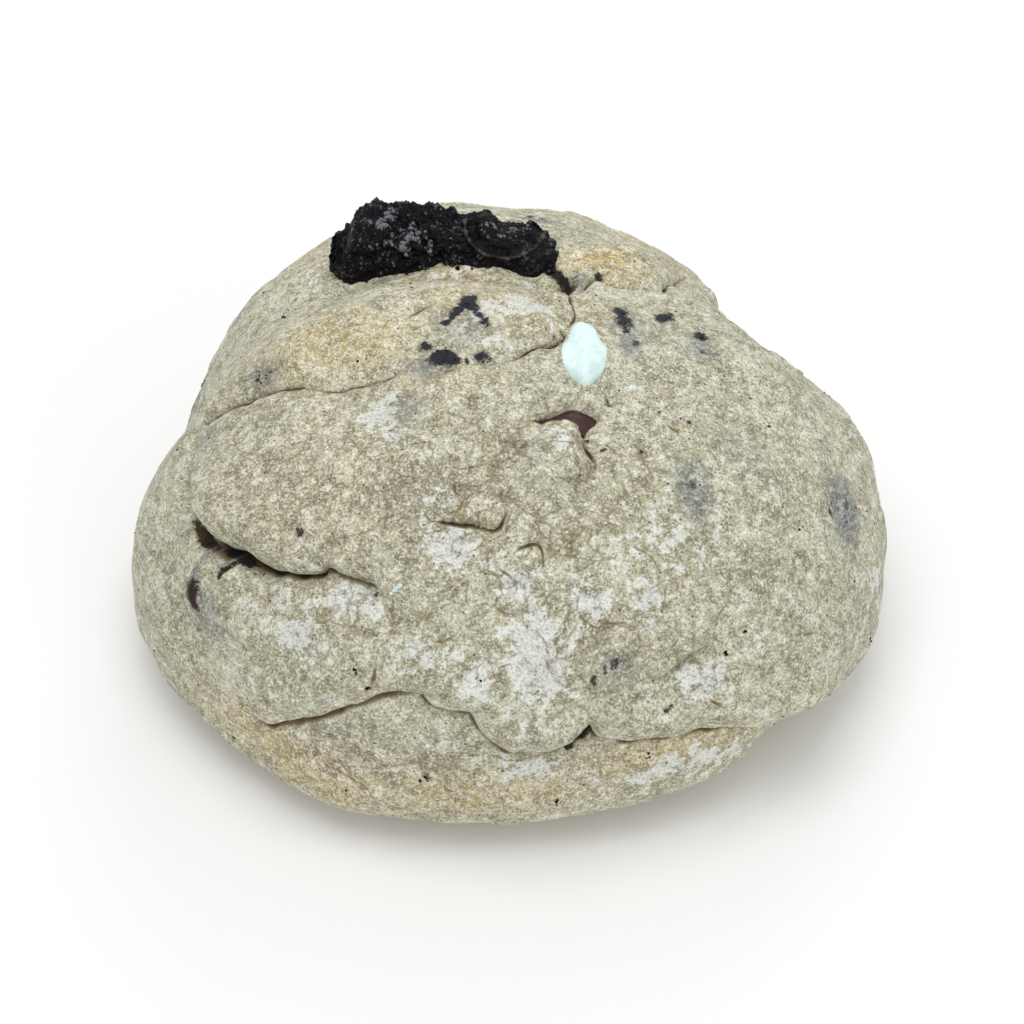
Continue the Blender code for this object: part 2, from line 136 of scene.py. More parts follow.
def layered(points: Points, size: float, octaves: int, seed: int, gain: float = 0.5) -> Points:
    """Noise from -1 to 1 summed over octaves, each half the size and gain times the height.

    Args:
        points: where to read it, in mm.
        size: the first octave's bump size, in mm.
        octaves: how many octaves.
        seed: the first octave's seed.
        gain: height of each octave against the one before.

    Returns:
        One number for each point.
    """
    total = np.zeros(len(points))
    height, whole = 1.0, 0.0
    turned = points
    for k in range(octaves):
        total += height * (2 * bumps(turned + 11.7 * k, size / 2 ** k, seed + k) - 1)
        whole += height
        height *= gain
        turned = turned @ OCTAVE_TURN
    return total / whole


def granules(points: Points, size: float, seed: int) -> tuple[Points, Points, Points]:
    """Packed crumbs: one scattered middle in each lattice cell of size mm.

    Args:
        points: where to read it, in mm.
        size: the cell's size, in mm.
        seed: which scatter.

    Returns:
        The distance to the nearest middle and the extra distance to the second, in cell sizes,
        and a number from 0 to 1 that belongs to the nearest crumb.
    """
    q = points / size
    cell = np.floor(q).astype(np.int64)
    first = np.full(len(points), 9.0)
    second = np.full(len(points), 9.0)
    own = np.zeros(len(points))
    for corner in np.ndindex(3, 3, 3):
        c = cell + np.array(corner) - 1
        middle = c + np.stack([hashed(c, seed + k) for k in range(3)], axis=1)
        far = np.linalg.norm(middle - q, axis=1)
        second = np.where(far < first, first, np.minimum(second, far))
        own = np.where(far < first, hashed(c, seed + 3), own)
        first = np.minimum(first, far)
    return first, second - first, own


def ball_grid(n: int) -> tuple[Points, Points]:
    """Directions and squares of a cube's six faces, each n by n equal angles, blown up to a ball."""
    g = np.tan(np.linspace(-math.pi / 4, math.pi / 4, n + 1))
    a, b = np.meshgrid(g, g, indexing="ij")
    one = np.ones_like(a)
    faces = ((a, b, one), (b, a, -one), (one, a, b), (-one, b, a), (b, one, a), (a, -one, b))
    points = np.vstack([np.stack(f, -1).reshape(-1, 3) for f in faces])
    index = np.arange((n + 1) ** 2).reshape(n + 1, n + 1)
    square = np.stack([index[:-1, :-1], index[1:, :-1], index[1:, 1:], index[:-1, 1:]], -1)
    squares = np.vstack([square.reshape(-1, 4) + k * (n + 1) ** 2 for k in range(6)])
    _, first, same = np.unique(np.round(points, 6), axis=0, return_index=True, return_inverse=True)
    return unit(points[first]), same.reshape(-1)[squares]


def smooth_line(points: Points, steps: int = 8) -> Points:
    """A Catmull-Rom curve through the points, with steps pieces between two of them."""
    p = np.vstack([2 * points[0] - points[1], points, 2 * points[-1] - points[-2]])
    t = np.linspace(0, 1, steps, endpoint=False)[:, None]
    runs = []
    for a, b, c, d in zip(p[:-3], p[1:-2], p[2:-1], p[3:]):
        runs.append(0.5 * (2 * b + (c - a) * t + (2 * a - 5 * b + 4 * c - d) * t ** 2
                           + (3 * b - 3 * c + d - a) * t ** 3))
    return np.vstack(runs + [points[-1:]])


def make_piece(name: str, points: Points, faces: Points) -> bpy.types.Object:
    """A smooth shaded mesh object at the origin, from points in mm and faces of equal size."""
    mesh = bpy.data.meshes.new(name)
    mesh.vertices.add(len(points))
    mesh.vertices.foreach_set("co", (points * MM).astype(np.float32).ravel())
    corners = faces.shape[1]
    mesh.loops.add(faces.size)
    mesh.loops.foreach_set("vertex_index", faces.astype(np.int32).ravel())
    mesh.polygons.add(len(faces))
    mesh.polygons.foreach_set("loop_start", np.arange(0, faces.size, corners, dtype=np.int32))
    mesh.update(calc_edges=True)
    mesh.shade_smooth()
    piece = bpy.data.objects.new(name, mesh)
    bpy.context.scene.collection.objects.link(piece)
    return piece


def mesh_points(mesh: bpy.types.Mesh) -> Points:
    """A mesh's vertices in mm."""
    flat = np.empty(len(mesh.vertices) * 3, np.float32)
    mesh.vertices.foreach_get("co", flat)
    return flat.reshape(-1, 3).astype(float) / MM


def paint(mesh: bpy.types.Mesh, name: str, values: Points) -> None:
    """Stores one number for each vertex as an attribute that a material reads."""
    layer = mesh.attributes.new(name, "FLOAT", "POINT")
    layer.data.foreach_set("value", np.clip(values, 0.0, 1.0).astype(np.float32))


@dataclass(frozen=True)
class Lobe:
    """A soft swelling or hollow of the dough, a bell of two half widths."""

    place: Place
    across: float
    along: float
    rise: float
    turn: float = 0.0
    drawn: bool = True


@dataclass(frozen=True)
class Fold:
    """A seam or crack. Points are (right, up, strength); the upper lap is on the left of travel."""

    points: tuple
    depth: float
    width: float
    lip: float = 0.0
    lip_width: float = 2.0
    under: float = 0.0
    slide: float = 0.0
    shade: float = 1.0      # how brown its bottom is and how much painted shade it gets
    drawn: bool = True


@dataclass(frozen=True)
class Strip:
    """A raised ribbon of dough laid over its neighbours."""

    points: tuple
    half_width: float
    rise: float


class Stain(Enum):
    """What colours a broad place of the dough beyond its plain crumb."""

    TOAST = "toast"         # browned by the oven
    BLOOM = "bloom"         # pale dry flour and sugar, and painted light on the brow
    SMUDGE = "smudge"       # grey from ground wafer under the skin
    DULL = "dull"           # painted shade: darker crumb in places
    CLEFT = "cleft"         # brown and painted shade inside an open fold


class Ink(Enum):
    """A small dark mark, by its colour."""

    COCOA = "#1b1d27"       # wafer crumb at the skin
    MILK = "#2e1710"        # milk chocolate that melted into the skin
    CRUST_AND_SHADE = "#3a2b12"       # toasted inside of a crack, darkened with painted shade
    HOLE_SHADE = "#120d09"        # painted shade: the unlit inside of an open crack


@dataclass(frozen=True)
class Patch:
    """A stained place with soft edges."""

    stain: Stain
    place: Place
    across: float
    along: float
    amount: float
    turn: float = 0.0
    drawn: bool = True


@dataclass(frozen=True)
class Spot:
    """A dark mark that the dough's material draws as a soft ball round its middle."""

    ink: Ink
    place: Place
    size: float             # half width, mm
    amount: float = 1.0
    drawn: bool = True


def rows(kind: type, *first: Enum, table: tuple, drawn: bool = True) -> tuple:
    """One thing of a kind for each row, which holds its place's two numbers and its other values.

    Args:
        kind: the class of the things.
        first: what comes before the place, the same for all.
        table: the rows.
        drawn: whether the places are on the view plane.

    Returns:
        The things in their order.
    """
    return tuple(kind(*first, (a, b), *rest, drawn=drawn) for a, b, *rest in table)


class DoughForm:
    """The dough's outer surface as a distance from the middle of its waist."""

    width = 94.2
    depth = 88.0
    height = 46.5
    waist = 13.0
    sunk = 1.2
    plan_power = 2.15
    dome_power = 2.25
    foot_power = 3.2
    lobe_roundness = 1.6
    search = 75.0
    search_steps = 1201

    def __init__(self, lobes: tuple[Lobe, ...]) -> None:
        """Lays every lobe on the ball in order."""
        self.centre = np.array([0.0, 0.0, self.waist])
        self.lobes: list[tuple[Points, Lobe]] = []
        for lobe in lobes:
            self.lobes.append((self.place(lobe.place, lobe.drawn), lobe))

    def ball(self, d: Points) -> Points:
        """Superellipse in plan, joined to a round dome above the waist and a squarer foot below."""
        plan = ((np.abs(d[:, 0]) * 2 / self.width) ** self.plan_power
                + (np.abs(d[:, 1]) * 2 / self.depth) ** self.plan_power)
        above = d[:, 2] > 0
        reach = np.where(above, self.height - self.waist, self.waist + self.sunk)
        power = np.where(above, self.dome_power, self.foot_power)
        tall = (np.abs(d[:, 2]) / reach) ** power
        return (plan ** (power / self.plan_power) + tall) ** (-1.0 / power)

    def radius(self, d: Points) -> Points:
        """The ball's distance plus every lobe's bell."""
        ball = self.ball(d)
        points = self.centre + d * ball[:, None]
        total = ball
        for place, lobe in self.lobes:
            total = total + lobe.rise * self.bell(points, place, lobe.across, lobe.along, lobe.turn)
        return total

    def axes(self, d: Points) -> tuple[Points, Points]:
        """The view plane's right and up, turned by the shortest way onto the surface at d."""
        half = BACK + d
        k = 1.0 + d @ BACK
        return RIGHT - half * ((RIGHT @ d) / k), UP - half * ((UP @ d) / k)

    def bell(self, points: Points, place: Points, across: float, along: float,
             turn: float) -> Points:
        """exp(-q), where q is the squared distance from a place in its two half widths.

        Args:
            points: points near the dough, in mm.
            place: the direction of the bell's middle.
            across: half width along the turned right axis, in mm.
            along: half width along the turned up axis, in mm.
            turn: degrees from the view plane's right.

        Returns:
            One number from 0 to 1 for each point.
        """
        middle = self.centre + place * self.ball(place[None])
        right, up = self.axes(place)
        angle = math.radians(turn)
        a = right * math.cos(angle) + up * math.sin(angle)
        b = up * math.cos(angle) - right * math.sin(angle)
        r = points - middle
        thick = self.lobe_roundness * max(across, along)
        return np.exp(-((r @ a) / across) ** 2 - ((r @ b) / along) ** 2 - ((r @ place) / thick) ** 2)

    def seen(self, right: float, up: float) -> Points:
        """The direction of the dough point seen at (right, up): a ray is stepped until it is inside."""
        eye = VIEW_AIM + BACK * VIEW_DISTANCE
        ray = unit(VIEW_AIM + RIGHT * right + UP * up - eye)
        steps = np.linspace(VIEW_DISTANCE - self.search, VIEW_DISTANCE + self.search,
                            self.search_steps)
        q = eye + ray * steps[:, None] - self.centre
        length = np.linalg.norm(q, axis=1)
        outside = length - self.radius(q / length[:, None])
        inside = np.nonzero(outside < 0)[0]
        if len(inside) == 0:
            return unit(q[np.argmin(outside)])
        k = inside[0]
        w = outside[k - 1] / (outside[k - 1] - outside[k])
        return unit(q[k - 1] * (1 - w) + q[k] * w)

    def place(self, spot: Place, drawn: bool) -> Points:
        """The direction of a spot drawn on the view plane or given in degrees."""
        return self.seen(*spot) if drawn else around(*spot)

    def point(self, d: Points) -> Points:
        """The lobed surface's points along the directions d."""
        return self.centre + d * self.radius(d)[:, None]

    def normal(self, d: Points) -> Points:
        """The outward normal at one direction, from two short steps along the surface."""
        a, b = self.axes(d)
        step = 0.02
        p = self.point(unit(np.array([d + a * step, d - a * step, d + b * step, d - b * step])))
        n = unit(np.cross(p[0] - p[1], p[2] - p[3]))
        return n if n @ d > 0 else -n


class SurfaceLine:
    """A curve on the dough with a strength that dies out at both ends."""

    taper = 2.0

    def __init__(self, form: DoughForm, points: tuple, drawn: bool) -> None:
        """Puts the drawn points on the dough and joins them by a smooth curve."""
        spots = np.array([form.place((a, b), drawn) for a, b, _ in points])
        strength = np.array([[s] for _, _, s in points])
        line = smooth_line(np.hstack([form.point(spots), strength]))
        self.curve = form.point(unit(line[:, :3] - form.centre))
        pieces = np.linalg.norm(np.diff(self.curve, axis=0), axis=1)
        along = np.concatenate([[0.0], np.cumsum(pieces)])
        ends = np.clip(np.minimum(along, along[-1] - along) / self.taper, 0, 1) ** 0.7
        uneven = 0.55 + 0.9 * bumps(self.curve, 1.8, Seed.LINE)
        self.strength = np.clip(line[:, 3], 0, None) * ends * uneven

    def across(self, points: Points, d: Points, reach: float) -> tuple:
        """How points lie against the line: the nearest piece's foot, signed by its side.

        Args:
            points: points near the dough, in mm.
            d: the points' outward directions.
            reach: how far from the line to look, in mm.

        Returns:
            The numbers of the near points, their distance, side (1 on the left of travel), the
            direction to that side and the line's strength there.
        """
        low, high = self.curve.min(0) - reach, self.curve.max(0) + reach
        near = np.nonzero(((points > low) & (points < high)).all(1))[0]
        close = np.zeros(len(near), bool)
        for c in self.curve[::4]:
            close |= ((points[near] - c) ** 2).sum(1) < (reach + 3) ** 2
        near = near[close]
        q = points[near]
        best = np.full(len(q), np.inf)
        foot = np.zeros((len(q), 3))
        tangent = np.zeros((len(q), 3))
        strength = np.zeros(len(q))
        for s, e, w0, w1 in zip(self.curve[:-1], self.curve[1:], self.strength, self.strength[1:]):
            run = e - s
            t = np.clip((q - s) @ run / (run @ run), 0, 1)
            nearest = s + t[:, None] * run
            gap = ((q - nearest) ** 2).sum(1)
            closer = gap < best
            best[closer] = gap[closer]
            foot[closer] = nearest[closer]
            tangent[closer] = run
            strength[closer] = (w0 + (w1 - w0) * t)[closer]
        over = unit(np.cross(d[near], unit(tangent)))
        side = np.where(((q - foot) * over).sum(1) < 0, -1.0, 1.0)
        return near, np.sqrt(best), side, over, strength


@dataclass
class Surface:
    """The dough while it is shaped: places on its plain form and what has been done to them."""

    form: DoughForm
    d: Points
    rest: Points
    ragged: Points
    outward: Points
    sideways: Points
    crevice_brown_and_shade: Points

    @classmethod
    def over(cls, form: DoughForm, d: Points) -> "Surface":
        """Starts from the lobed form. Lines are measured from shaken points, so they run ragged."""
        rest = form.point(d)
        shake = np.zeros_like(rest)
        for axis in range(3):
            shake[:, axis] = (0.45 * layered(rest + 31.0 * axis, 3.4, 1, Seed.SHAKE + axis)
                              + 0.22 * layered(rest + 17.0 * axis, 1.3, 2, Seed.FINE_SHAKE + axis))
        n = len(d)
        return cls(form, d, rest, rest + shake, np.zeros(n), np.zeros((n, 3)), np.zeros(n))

    def press(self, fold: Fold) -> None:
        """Presses a fold in.

        Across the line the groove is a sharp V on a wider bell, 0.55 exp(-s/w) + 0.45
        exp(-(s/2.2w)^2); the upper lap swells by x exp((1 - x^2)/2) of the distance in lip
        widths and slides over the groove, and the lower lap is drawn in by a bell.

        Args:
            fold: what to press into the dough.
        """
        line = SurfaceLine(self.form, fold.points, fold.drawn)
        reach = 3.2 * max(fold.width, fold.lip_width if fold.lip or fold.under else 0.0, 0.6)
        near, dist, side, over, strength = line.across(self.ragged, self.d, reach)
        groove = (0.55 * np.exp(-dist / fold.width)
                  + 0.45 * np.exp(-(dist / (2.2 * fold.width)) ** 2))
        x = np.where(side > 0, dist, 0.0) / fold.lip_width
        rise = -fold.depth * groove + fold.lip * x * np.exp((1 - x * x) / 2)
        drawn_in = np.exp(-(dist / (1.8 * fold.lip_width)) ** 2)
        rise -= np.where(side < 0, fold.under * drawn_in, 0.0)
        hang = np.exp(-((dist - 1.1 * fold.width) / (1.2 * fold.width)) ** 2)
        slide = np.where(side > 0, fold.slide * hang, 0.0)
        self.outward[near] += strength * rise
        self.sideways[near] -= over * (strength * slide)[:, None]
        # The groove's brown and painted shade, moved onto the lower lap where the upper lap hides the
        # groove's bottom
        covered = 0.80 * fold.slide * strength
        wide = 0.13 + 0.30 * fold.width + 0.22 * fold.slide
        groove_brown_and_shade = np.exp(-((side * dist + covered) / wide) ** 2) * np.clip(strength, 0, 1.3)
        self.crevice_brown_and_shade[near] = np.maximum(self.crevice_brown_and_shade[near], fold.shade * groove_brown_and_shade)

    def lay(self, strip: Strip) -> None:
        """Lays a rounded ribbon of dough on the surface: rise times 1 - smooth(distance)."""
        line = SurfaceLine(self.form, strip.points, True)
        near, dist, _, _, strength = line.across(self.ragged, self.d, 3 * strip.half_width)
        flat = 1 - smooth(0.65 * strip.half_width, 1.25 * strip.half_width, dist)
        self.outward[near] += strip.rise * strength * flat

    def swell(self, lobe: Lobe) -> None:
        """Raises or dimples the surface by a small bell."""
        place = self.form.place(lobe.place, lobe.drawn)
        self.outward += lobe.rise * self.form.bell(self.ragged, place, lobe.across, lobe.along,
                                                   lobe.turn)

    def points(self) -> Points:
        """Where the surface is now."""
        return self.rest + self.d * self.outward[:, None] + self.sideways


def seen_at(points: Points) -> Points:
    """Where the viewer sees points on the view plane, as (right, up) in mm."""
    r = points - VIEW_AIM
    k = VIEW_DISTANCE / (VIEW_DISTANCE - r @ BACK)
    return np.stack([(r @ RIGHT) * k, (r @ UP) * k], axis=1)


def linear(colour: str) -> tuple[float, float, float, float]:
    """A hex sRGB colour as linear light, with full alpha."""
    parts = [int(colour[i:i + 2], 16) / 255 for i in (1, 3, 5)]
    return (*[p / 12.92 if p <= 0.04045 else ((p + 0.055) / 1.055) ** 2.4 for p in parts], 1.0)


def feed(node: bpy.types.Node, inputs: dict) -> None:
    """Gives a node's inputs a value, or a link from the output socket that feeds them."""
    for key, value in inputs.items():
        if isinstance(value, Socket):
            node.id_data.links.new(value, node.inputs[key])
        else:
            node.inputs[key].default_value = value


def add_node(tree: bpy.types.NodeTree, kind: str, inputs: dict, **settings) -> bpy.types.Node:
    """Adds a node with its settings and links.

    Args:
        tree: the node tree.
        kind: the node's type.
        inputs: a value, or the output socket that feeds it, for each socket name or number.
        settings: the node's own properties.

    Returns:
        The node.
    """
    made = tree.nodes.new(kind)
    for key, value in settings.items():
        setattr(made, key, value)
    feed(made, inputs)
    return made


def per_mm(size: float) -> float:
    """The texture scale whose pattern repeats about every size mm."""
    return 1.0 / (size * MM)


class Finish:
    """A material on object coordinates, with helpers that read attributes and mix colours."""

    def __init__(self, name: str) -> None:
        """Starts an empty material that shows a plain shader."""
        self.material = bpy.data.materials.new(name)
        self.material.use_nodes = True
        self.tree = self.material.node_tree
        self.shader = self.tree.nodes["Principled BSDF"]
        self.where = add_node(self.tree, "ShaderNodeTexCoord", {}).outputs["Object"]

    def attribute(self, name: str) -> Socket:
        """A number that the mesh holds for each vertex."""
        return add_node(self.tree, "ShaderNodeAttribute", {}, attribute_name=name).outputs["Fac"]

    def noise(self, size: float, detail: float = 2.0, roughness: float = 0.5,
              output: str = "Fac") -> Socket:
        """Noise whose bumps are about size mm."""
        made = add_node(self.tree, "ShaderNodeTexNoise",
                        {"Vector": self.where, "Scale": per_mm(size), "Detail": detail,
                         "Roughness": roughness})
        return made.outputs[output]

    def cells(self, size: float, vector: Socket | None = None, **settings) -> bpy.types.Node:
        """Scattered cells about size mm across."""
        vector = self.where if vector is None else vector
        return add_node(self.tree, "ShaderNodeTexVoronoi",
                        {"Vector": vector, "Scale": per_mm(size)}, **settings)

    def bent(self, size: float, far: float) -> Socket:
        """The coordinates, pushed about by noise of a size and up to half of far, both in mm."""
        push = self.vector("SUBTRACT", self.noise(size, output="Color"), (0.5, 0.5, 0.5))
        push = add_node(self.tree, "ShaderNodeVectorMath", {0: push, "Scale": far * MM},
                        operation="SCALE").outputs["Vector"]
        return self.vector("ADD", self.where, push)

    def ramp(self, value: Socket, low: float, high: float, top: float = 1.0) -> Socket:
        """Turns a value between low and high into 0 to top."""
        made = add_node(self.tree, "ShaderNodeMapRange",
                        {"Value": value, "From Min": low, "From Max": high, "To Max": top},
                        interpolation_type="SMOOTHSTEP")
        return made.outputs[0]

    def mix(self, amount: Feed, below: Feed, above: Feed) -> Socket:
        """Lays one colour over another by an amount."""
        made = add_node(self.tree, "ShaderNodeMix", {0: amount, 6: below, 7: above},
                        data_type="RGBA")
        return made.outputs[2]

    def tinted(self, colour: Feed, layers: tuple) -> Socket:
        """Lays colours over one another. Each layer is (value, low, high, top, hex colour)."""
        for value, low, high, top, tint in layers:
            colour = self.mix(self.ramp(value, low, high, top), colour, linear(tint))
        return colour

    def math(self, operation: str, first: Feed, second: Feed) -> Socket:
        """One sum on two numbers or sockets."""
        made = add_node(self.tree, "ShaderNodeMath", {0: first, 1: second}, operation=operation)
        return made.outputs[0]

    def added(self, first: Feed, second: Feed, share: float) -> Socket:
        """The first value and a share of the second."""
        return self.math("ADD", first, self.math("MULTIPLY", second, share))

    def vector(self, operation: str, first: Feed, second: Feed, output: str = "Vector") -> Socket:
        """One sum on two vectors."""
        made = add_node(self.tree, "ShaderNodeVectorMath", {0: first, 1: second},
                        operation=operation)
        return made.outputs[output]

    def dressed(self, inputs: dict, height: Socket | None = None,
                deep: float = 0.0) -> bpy.types.Material:
        """Feeds the shader, with a bump deep mm high where there is a height.

        Args:
            inputs: what the shader's inputs take.
            height: the bump's height, from 0 to 1.
            deep: how much one of that height is, in mm.

        Returns:
            The finished material.
        """
        feed(self.shader, inputs)
        if height is not None:
            bump = add_node(self.tree, "ShaderNodeBump",
                            {"Strength": 1.0, "Distance": deep * MM, "Height": height})
            feed(self.shader, {"Normal": bump.outputs["Normal"]})
        return self.material


@dataclass(frozen=True)
class DoughFinish:
    """Soft sugar cookie dough, baked pale: matt, sandy with sugar and flour.

    It was creamed, scooped cold and baked until the high laps browned. Cocoa from ground wafer
    greys it in places and dry flour blooms on the cracked plates.
    """

    tan: str = "#aea987"
    cream: str = "#cbc9ab"
    hollow: str = "#938c6b"
    # Colour of the painted shade on the crumb
    dull: str = "#8f8a72"
    crystal: str = "#f4f3e7"
    pit: str = "#69654f"
    golden: str = "#cbae63"
    flour: str = "#e2e5e2"
    smoke: str = "#60676a"
    # The furrows' brown, and the near black of painted shade at their bottoms
    furrow_brown_and_shade: str = "#705a32"
    deep: str = "#2a1c10"
    base: str = "#b3946c"
    roughness: float = 0.78
    grain: float = 0.25         # mm
    sand: float = 0.27          # mm
    grain_height: float = 0.14  # mm
    ragged: float = 0.85        # the middle of the summed noise that breaks up edges
    # Size and radius in mm, how rare, colour
    dots: tuple = ((1.2, 0.17, 0.58, "#453f39"), (4.0, 0.07, 0.78, "#74452f"))

    def build(self, marks: list[tuple[Points, Spot]]) -> bpy.types.Material:
        """Layers, from the bottom: crumb colour with painted shade and light on its small lumps,
        painted shade, browning, flour with painted light on the brow, smoke, grain, specks,
        furrows in their colour and painted shade.

        Args:
            marks: the ink spots with their middles on the finished surface, in mm.

        Returns:
            The material.
        """
        f = Finish("soft_cookie_dough")
        names = ("toast", "bloom", "smudge", "dull", "crevice_brown_and_shade", "relief", "base")
        layer = {name: f.attribute(name) for name in names}
        sizes = {"broad": 7.0, "middle": 2.2, "mottle": 1.0, "grain": self.grain, "fine": 0.16}
        noise = {name: f.noise(size, roughness=0.6) for name, size in sizes.items()}
        # Broad and middle noise vary the crumb's tone; the relief rows paint shade into the small
        # hollows and light onto the lumps' tops
        colour = f.tinted(linear(self.tan), (
            (noise["broad"], 0.32, 0.68, 1.0, self.cream),
            (noise["middle"], 0.60, 0.35, 0.35, self.hollow),
            (layer["relief"], 0.50, 0.18, 0.55, self.hollow),
            (layer["relief"], 0.52, 0.85, 0.45, self.cream)))
        ragged = f.added(noise["middle"], noise["mottle"], 0.7)
        # Painted shade darkens the crumb where that stain lies, its edges broken up by noise
        dull = f.math("ADD", layer["dull"], f.math("SUBTRACT", self.ragged, ragged))
        colour = f.tinted(colour, ((dull, 0.05, 0.55, 0.8, self.dull),))
        browned = f.math("MULTIPLY", layer["toast"], f.ramp(noise["middle"], 0.05, 0.50))
        colour = f.mix(browned, colour, linear(self.golden))
        colour = f.mix(layer["base"], colour, linear(self.base))
        # Pale flour, and painted light where that stain brightens the brow
        dusty_and_lit = f.added(layer["bloom"], f.math("SUBTRACT", ragged, self.ragged), 1.7)
        floury_and_lit = f.ramp(dusty_and_lit, 0.34, 0.62, 0.62)
        colour = f.mix(floury_and_lit, colour, linear(self.flour))
        smoky = f.ramp(f.added(layer["smudge"], noise["grain"], 0.9), 0.42, 1.25, 0.8)
        smoky = f.math("MULTIPLY", smoky, f.ramp(layer["smudge"], 0.02, 0.3))
        colour = f.mix(smoky, colour, linear(self.smoke))
        # Sugar crystals catch the light and the crumb between them is darker
        sand = f.cells(self.sand)
        shade = add_node(f.tree, "ShaderNodeSeparateColor", {0: sand.outputs["Color"]}).outputs[0]
        colour = f.tinted(colour, (
            (noise["middle"], 0.50, 0.34, 0.34, self.pit),
            (noise["middle"], 0.53, 0.68, 0.30, self.crystal),
            (noise["mottle"], 0.48, 0.32, 0.52, self.pit),
            (noise["mottle"], 0.54, 0.68, 0.52, self.crystal),
            (shade, 0.38, 0.0, 0.46, self.pit),
            (shade, 0.62, 1.0, 0.50, self.crystal),
            (noise["grain"], 0.49, 0.30, 0.58, self.pit),
            (noise["grain"], 0.53, 0.70, 0.50, self.crystal),
            (noise["fine"], 0.56, 0.74, 0.45, self.crystal),
            (noise["fine"], 0.43, 0.28, 0.40, self.pit)))
        colour = f.mix(f.math("MULTIPLY", floury_and_lit, 0.40), colour, linear(self.flour))
        colour = f.mix(f.math("MULTIPLY", smoky, 0.45), colour, linear(self.smoke))
        for size, radius, rare, tint in self.dots:
            dots = f.cells(size)
            picked = add_node(f.tree, "ShaderNodeSeparateColor", {0: dots.outputs["Color"]})
            some = f.math("GREATER_THAN", picked.outputs[0], rare)
            dot = f.math("MULTIPLY", f.ramp(dots.outputs["Distance"], radius, 0.5 * radius), some)
            colour = f.mix(f.math("MULTIPLY", dot, 0.8), colour, linear(tint))
        cracks = self.cracks(f)
        # Hair cracks and furrows are drawn in brown and in painted shade
        colour = f.mix(f.math("MULTIPLY", cracks, 0.62), colour, linear(self.furrow_brown_and_shade))
        furrow_brown_and_shade = f.added(f.added(layer["crevice_brown_and_shade"], ragged, 0.30), noise["grain"], 0.25)
        colour = f.tinted(colour, ((furrow_brown_and_shade, 0.56, 0.92, 0.9, self.furrow_brown_and_shade),
                                   (furrow_brown_and_shade, 0.88, 1.22, 1.0, self.deep)))
        for ink in Ink:
            inky = f.added(self.marked(f, marks, ink), noise["grain"], 1.5)
            colour = f.tinted(colour, ((inky, 0.95, 1.60, 1.0, ink.value),))
        height = f.added(noise["grain"], noise["fine"], 0.45)
        height = f.math("SUBTRACT", height, f.math("MULTIPLY", cracks, 0.4))
        return f.dressed({"Base Color": colour, "Roughness": self.roughness, "IOR": 1.42,
                          "Sheen Weight": 0.06}, height, self.grain_height)

    def marked(self, f: Finish, marks: list, ink: Ink) -> Socket:
        """How strongly an ink shows: the sum of its soft balls, bent out of round."""
        bent = f.bent(1.3, 1.8)
        balls = []
        for middle, spot in marks:
            if spot.ink is ink:
                away = f.vector("DISTANCE", bent, tuple(middle * MM), "Value")
                reach = spot.size * MM
                balls.append(f.ramp(away, 1.9 * reach, 0.2 * reach, spot.amount))
        total = balls[0]
        for ball in balls[1:]:
            total = f.math("ADD", total, ball)
        return total

    def cracks(self, f: Finish) -> Socket:
        """Hair cracks between plates a few mm across, only where the skin is rough."""
        plates = f.cells(3.6, f.bent(2.5, 2.6), feature="DISTANCE_TO_EDGE")
        line = f.ramp(plates.outputs["Distance"], 0.060, 0.015)
        some = f.math("MULTIPLY", f.ramp(f.noise(5.0), 0.44, 0.56), f.attribute("rough"))
        return f.math("MULTIPLY", line, some)


@dataclass(frozen=True)
class WaferFinish:
    """Dark cocoa wafer, broken and baked again: near black crumbs with a dry grey glint."""

    dark: str = "#070609"
    light: str = "#151317"
    # Grey of dry powder and of painted glints on the crumbs' tops
    dust_and_glint: str = "#86848a"
    rim: str = "#5a5049"
    roughness: float = 0.5
    grain: float = 0.30

    def build(self) -> bpy.types.Material:
        """Near black crumbs, greyed on top by dry powder and painted glints, over a rough bump."""
        f = Finish("cocoa_wafer")
        coarse = f.noise(0.9, 3.0, 0.65)
        fine = f.noise(self.grain, roughness=0.6)
        dusty_and_lit = f.math("MULTIPLY", f.attribute("grey"), 0.6)
        dusty_and_lit = f.added(f.added(dusty_and_lit, fine, 1.5), coarse, 0.5)
        pale_place = f.added(f.attribute("ring"), fine, 0.9)
        colour = f.tinted(linear(self.dark), ((coarse, 0.42, 0.66, 1.0, self.light),
                                              (dusty_and_lit, 1.22, 1.78, 0.85, self.dust_and_glint),
                                              (pale_place, 0.75, 1.35, 0.9, self.rim)))
        rough = f.math("MULTIPLY", f.ramp(coarse, 0.3, 0.7), 0.25)
        rough = f.math("ADD", rough, self.roughness - 0.1)
        # Dry crumb scatters inside itself and mirrors little
        return f.dressed({"Base Color": colour, "Roughness": rough, "Specular IOR Level": 0.13},
                         fine, 0.16)


@dataclass(frozen=True)
class ChocolateFinish:
    """Moulded chocolate that softened in the oven and set again: a satin skin, faintly mottled."""

    name: str
    colour: str
    mottle: str
    roughness: float
    glow: float         # how much light goes through it

    def build(self) -> bpy.types.Material:
        """Two close colours in soft blotches over a shallow bump."""
        f = Finish(self.name)
        soft = f.noise(1.1, 3.0, 0.55)
        colour = f.tinted(linear(self.colour), ((soft, 0.4, 0.65, 1.0, self.mottle),))
        return f.dressed({"Base Color": colour, "Roughness": self.roughness, "IOR": 1.48,
                          "Subsurface Weight": self.glow, "Subsurface Radius": (1.2, 1.0, 0.8),
                          "Subsurface Scale": 0.8 * MM}, soft, 0.09)


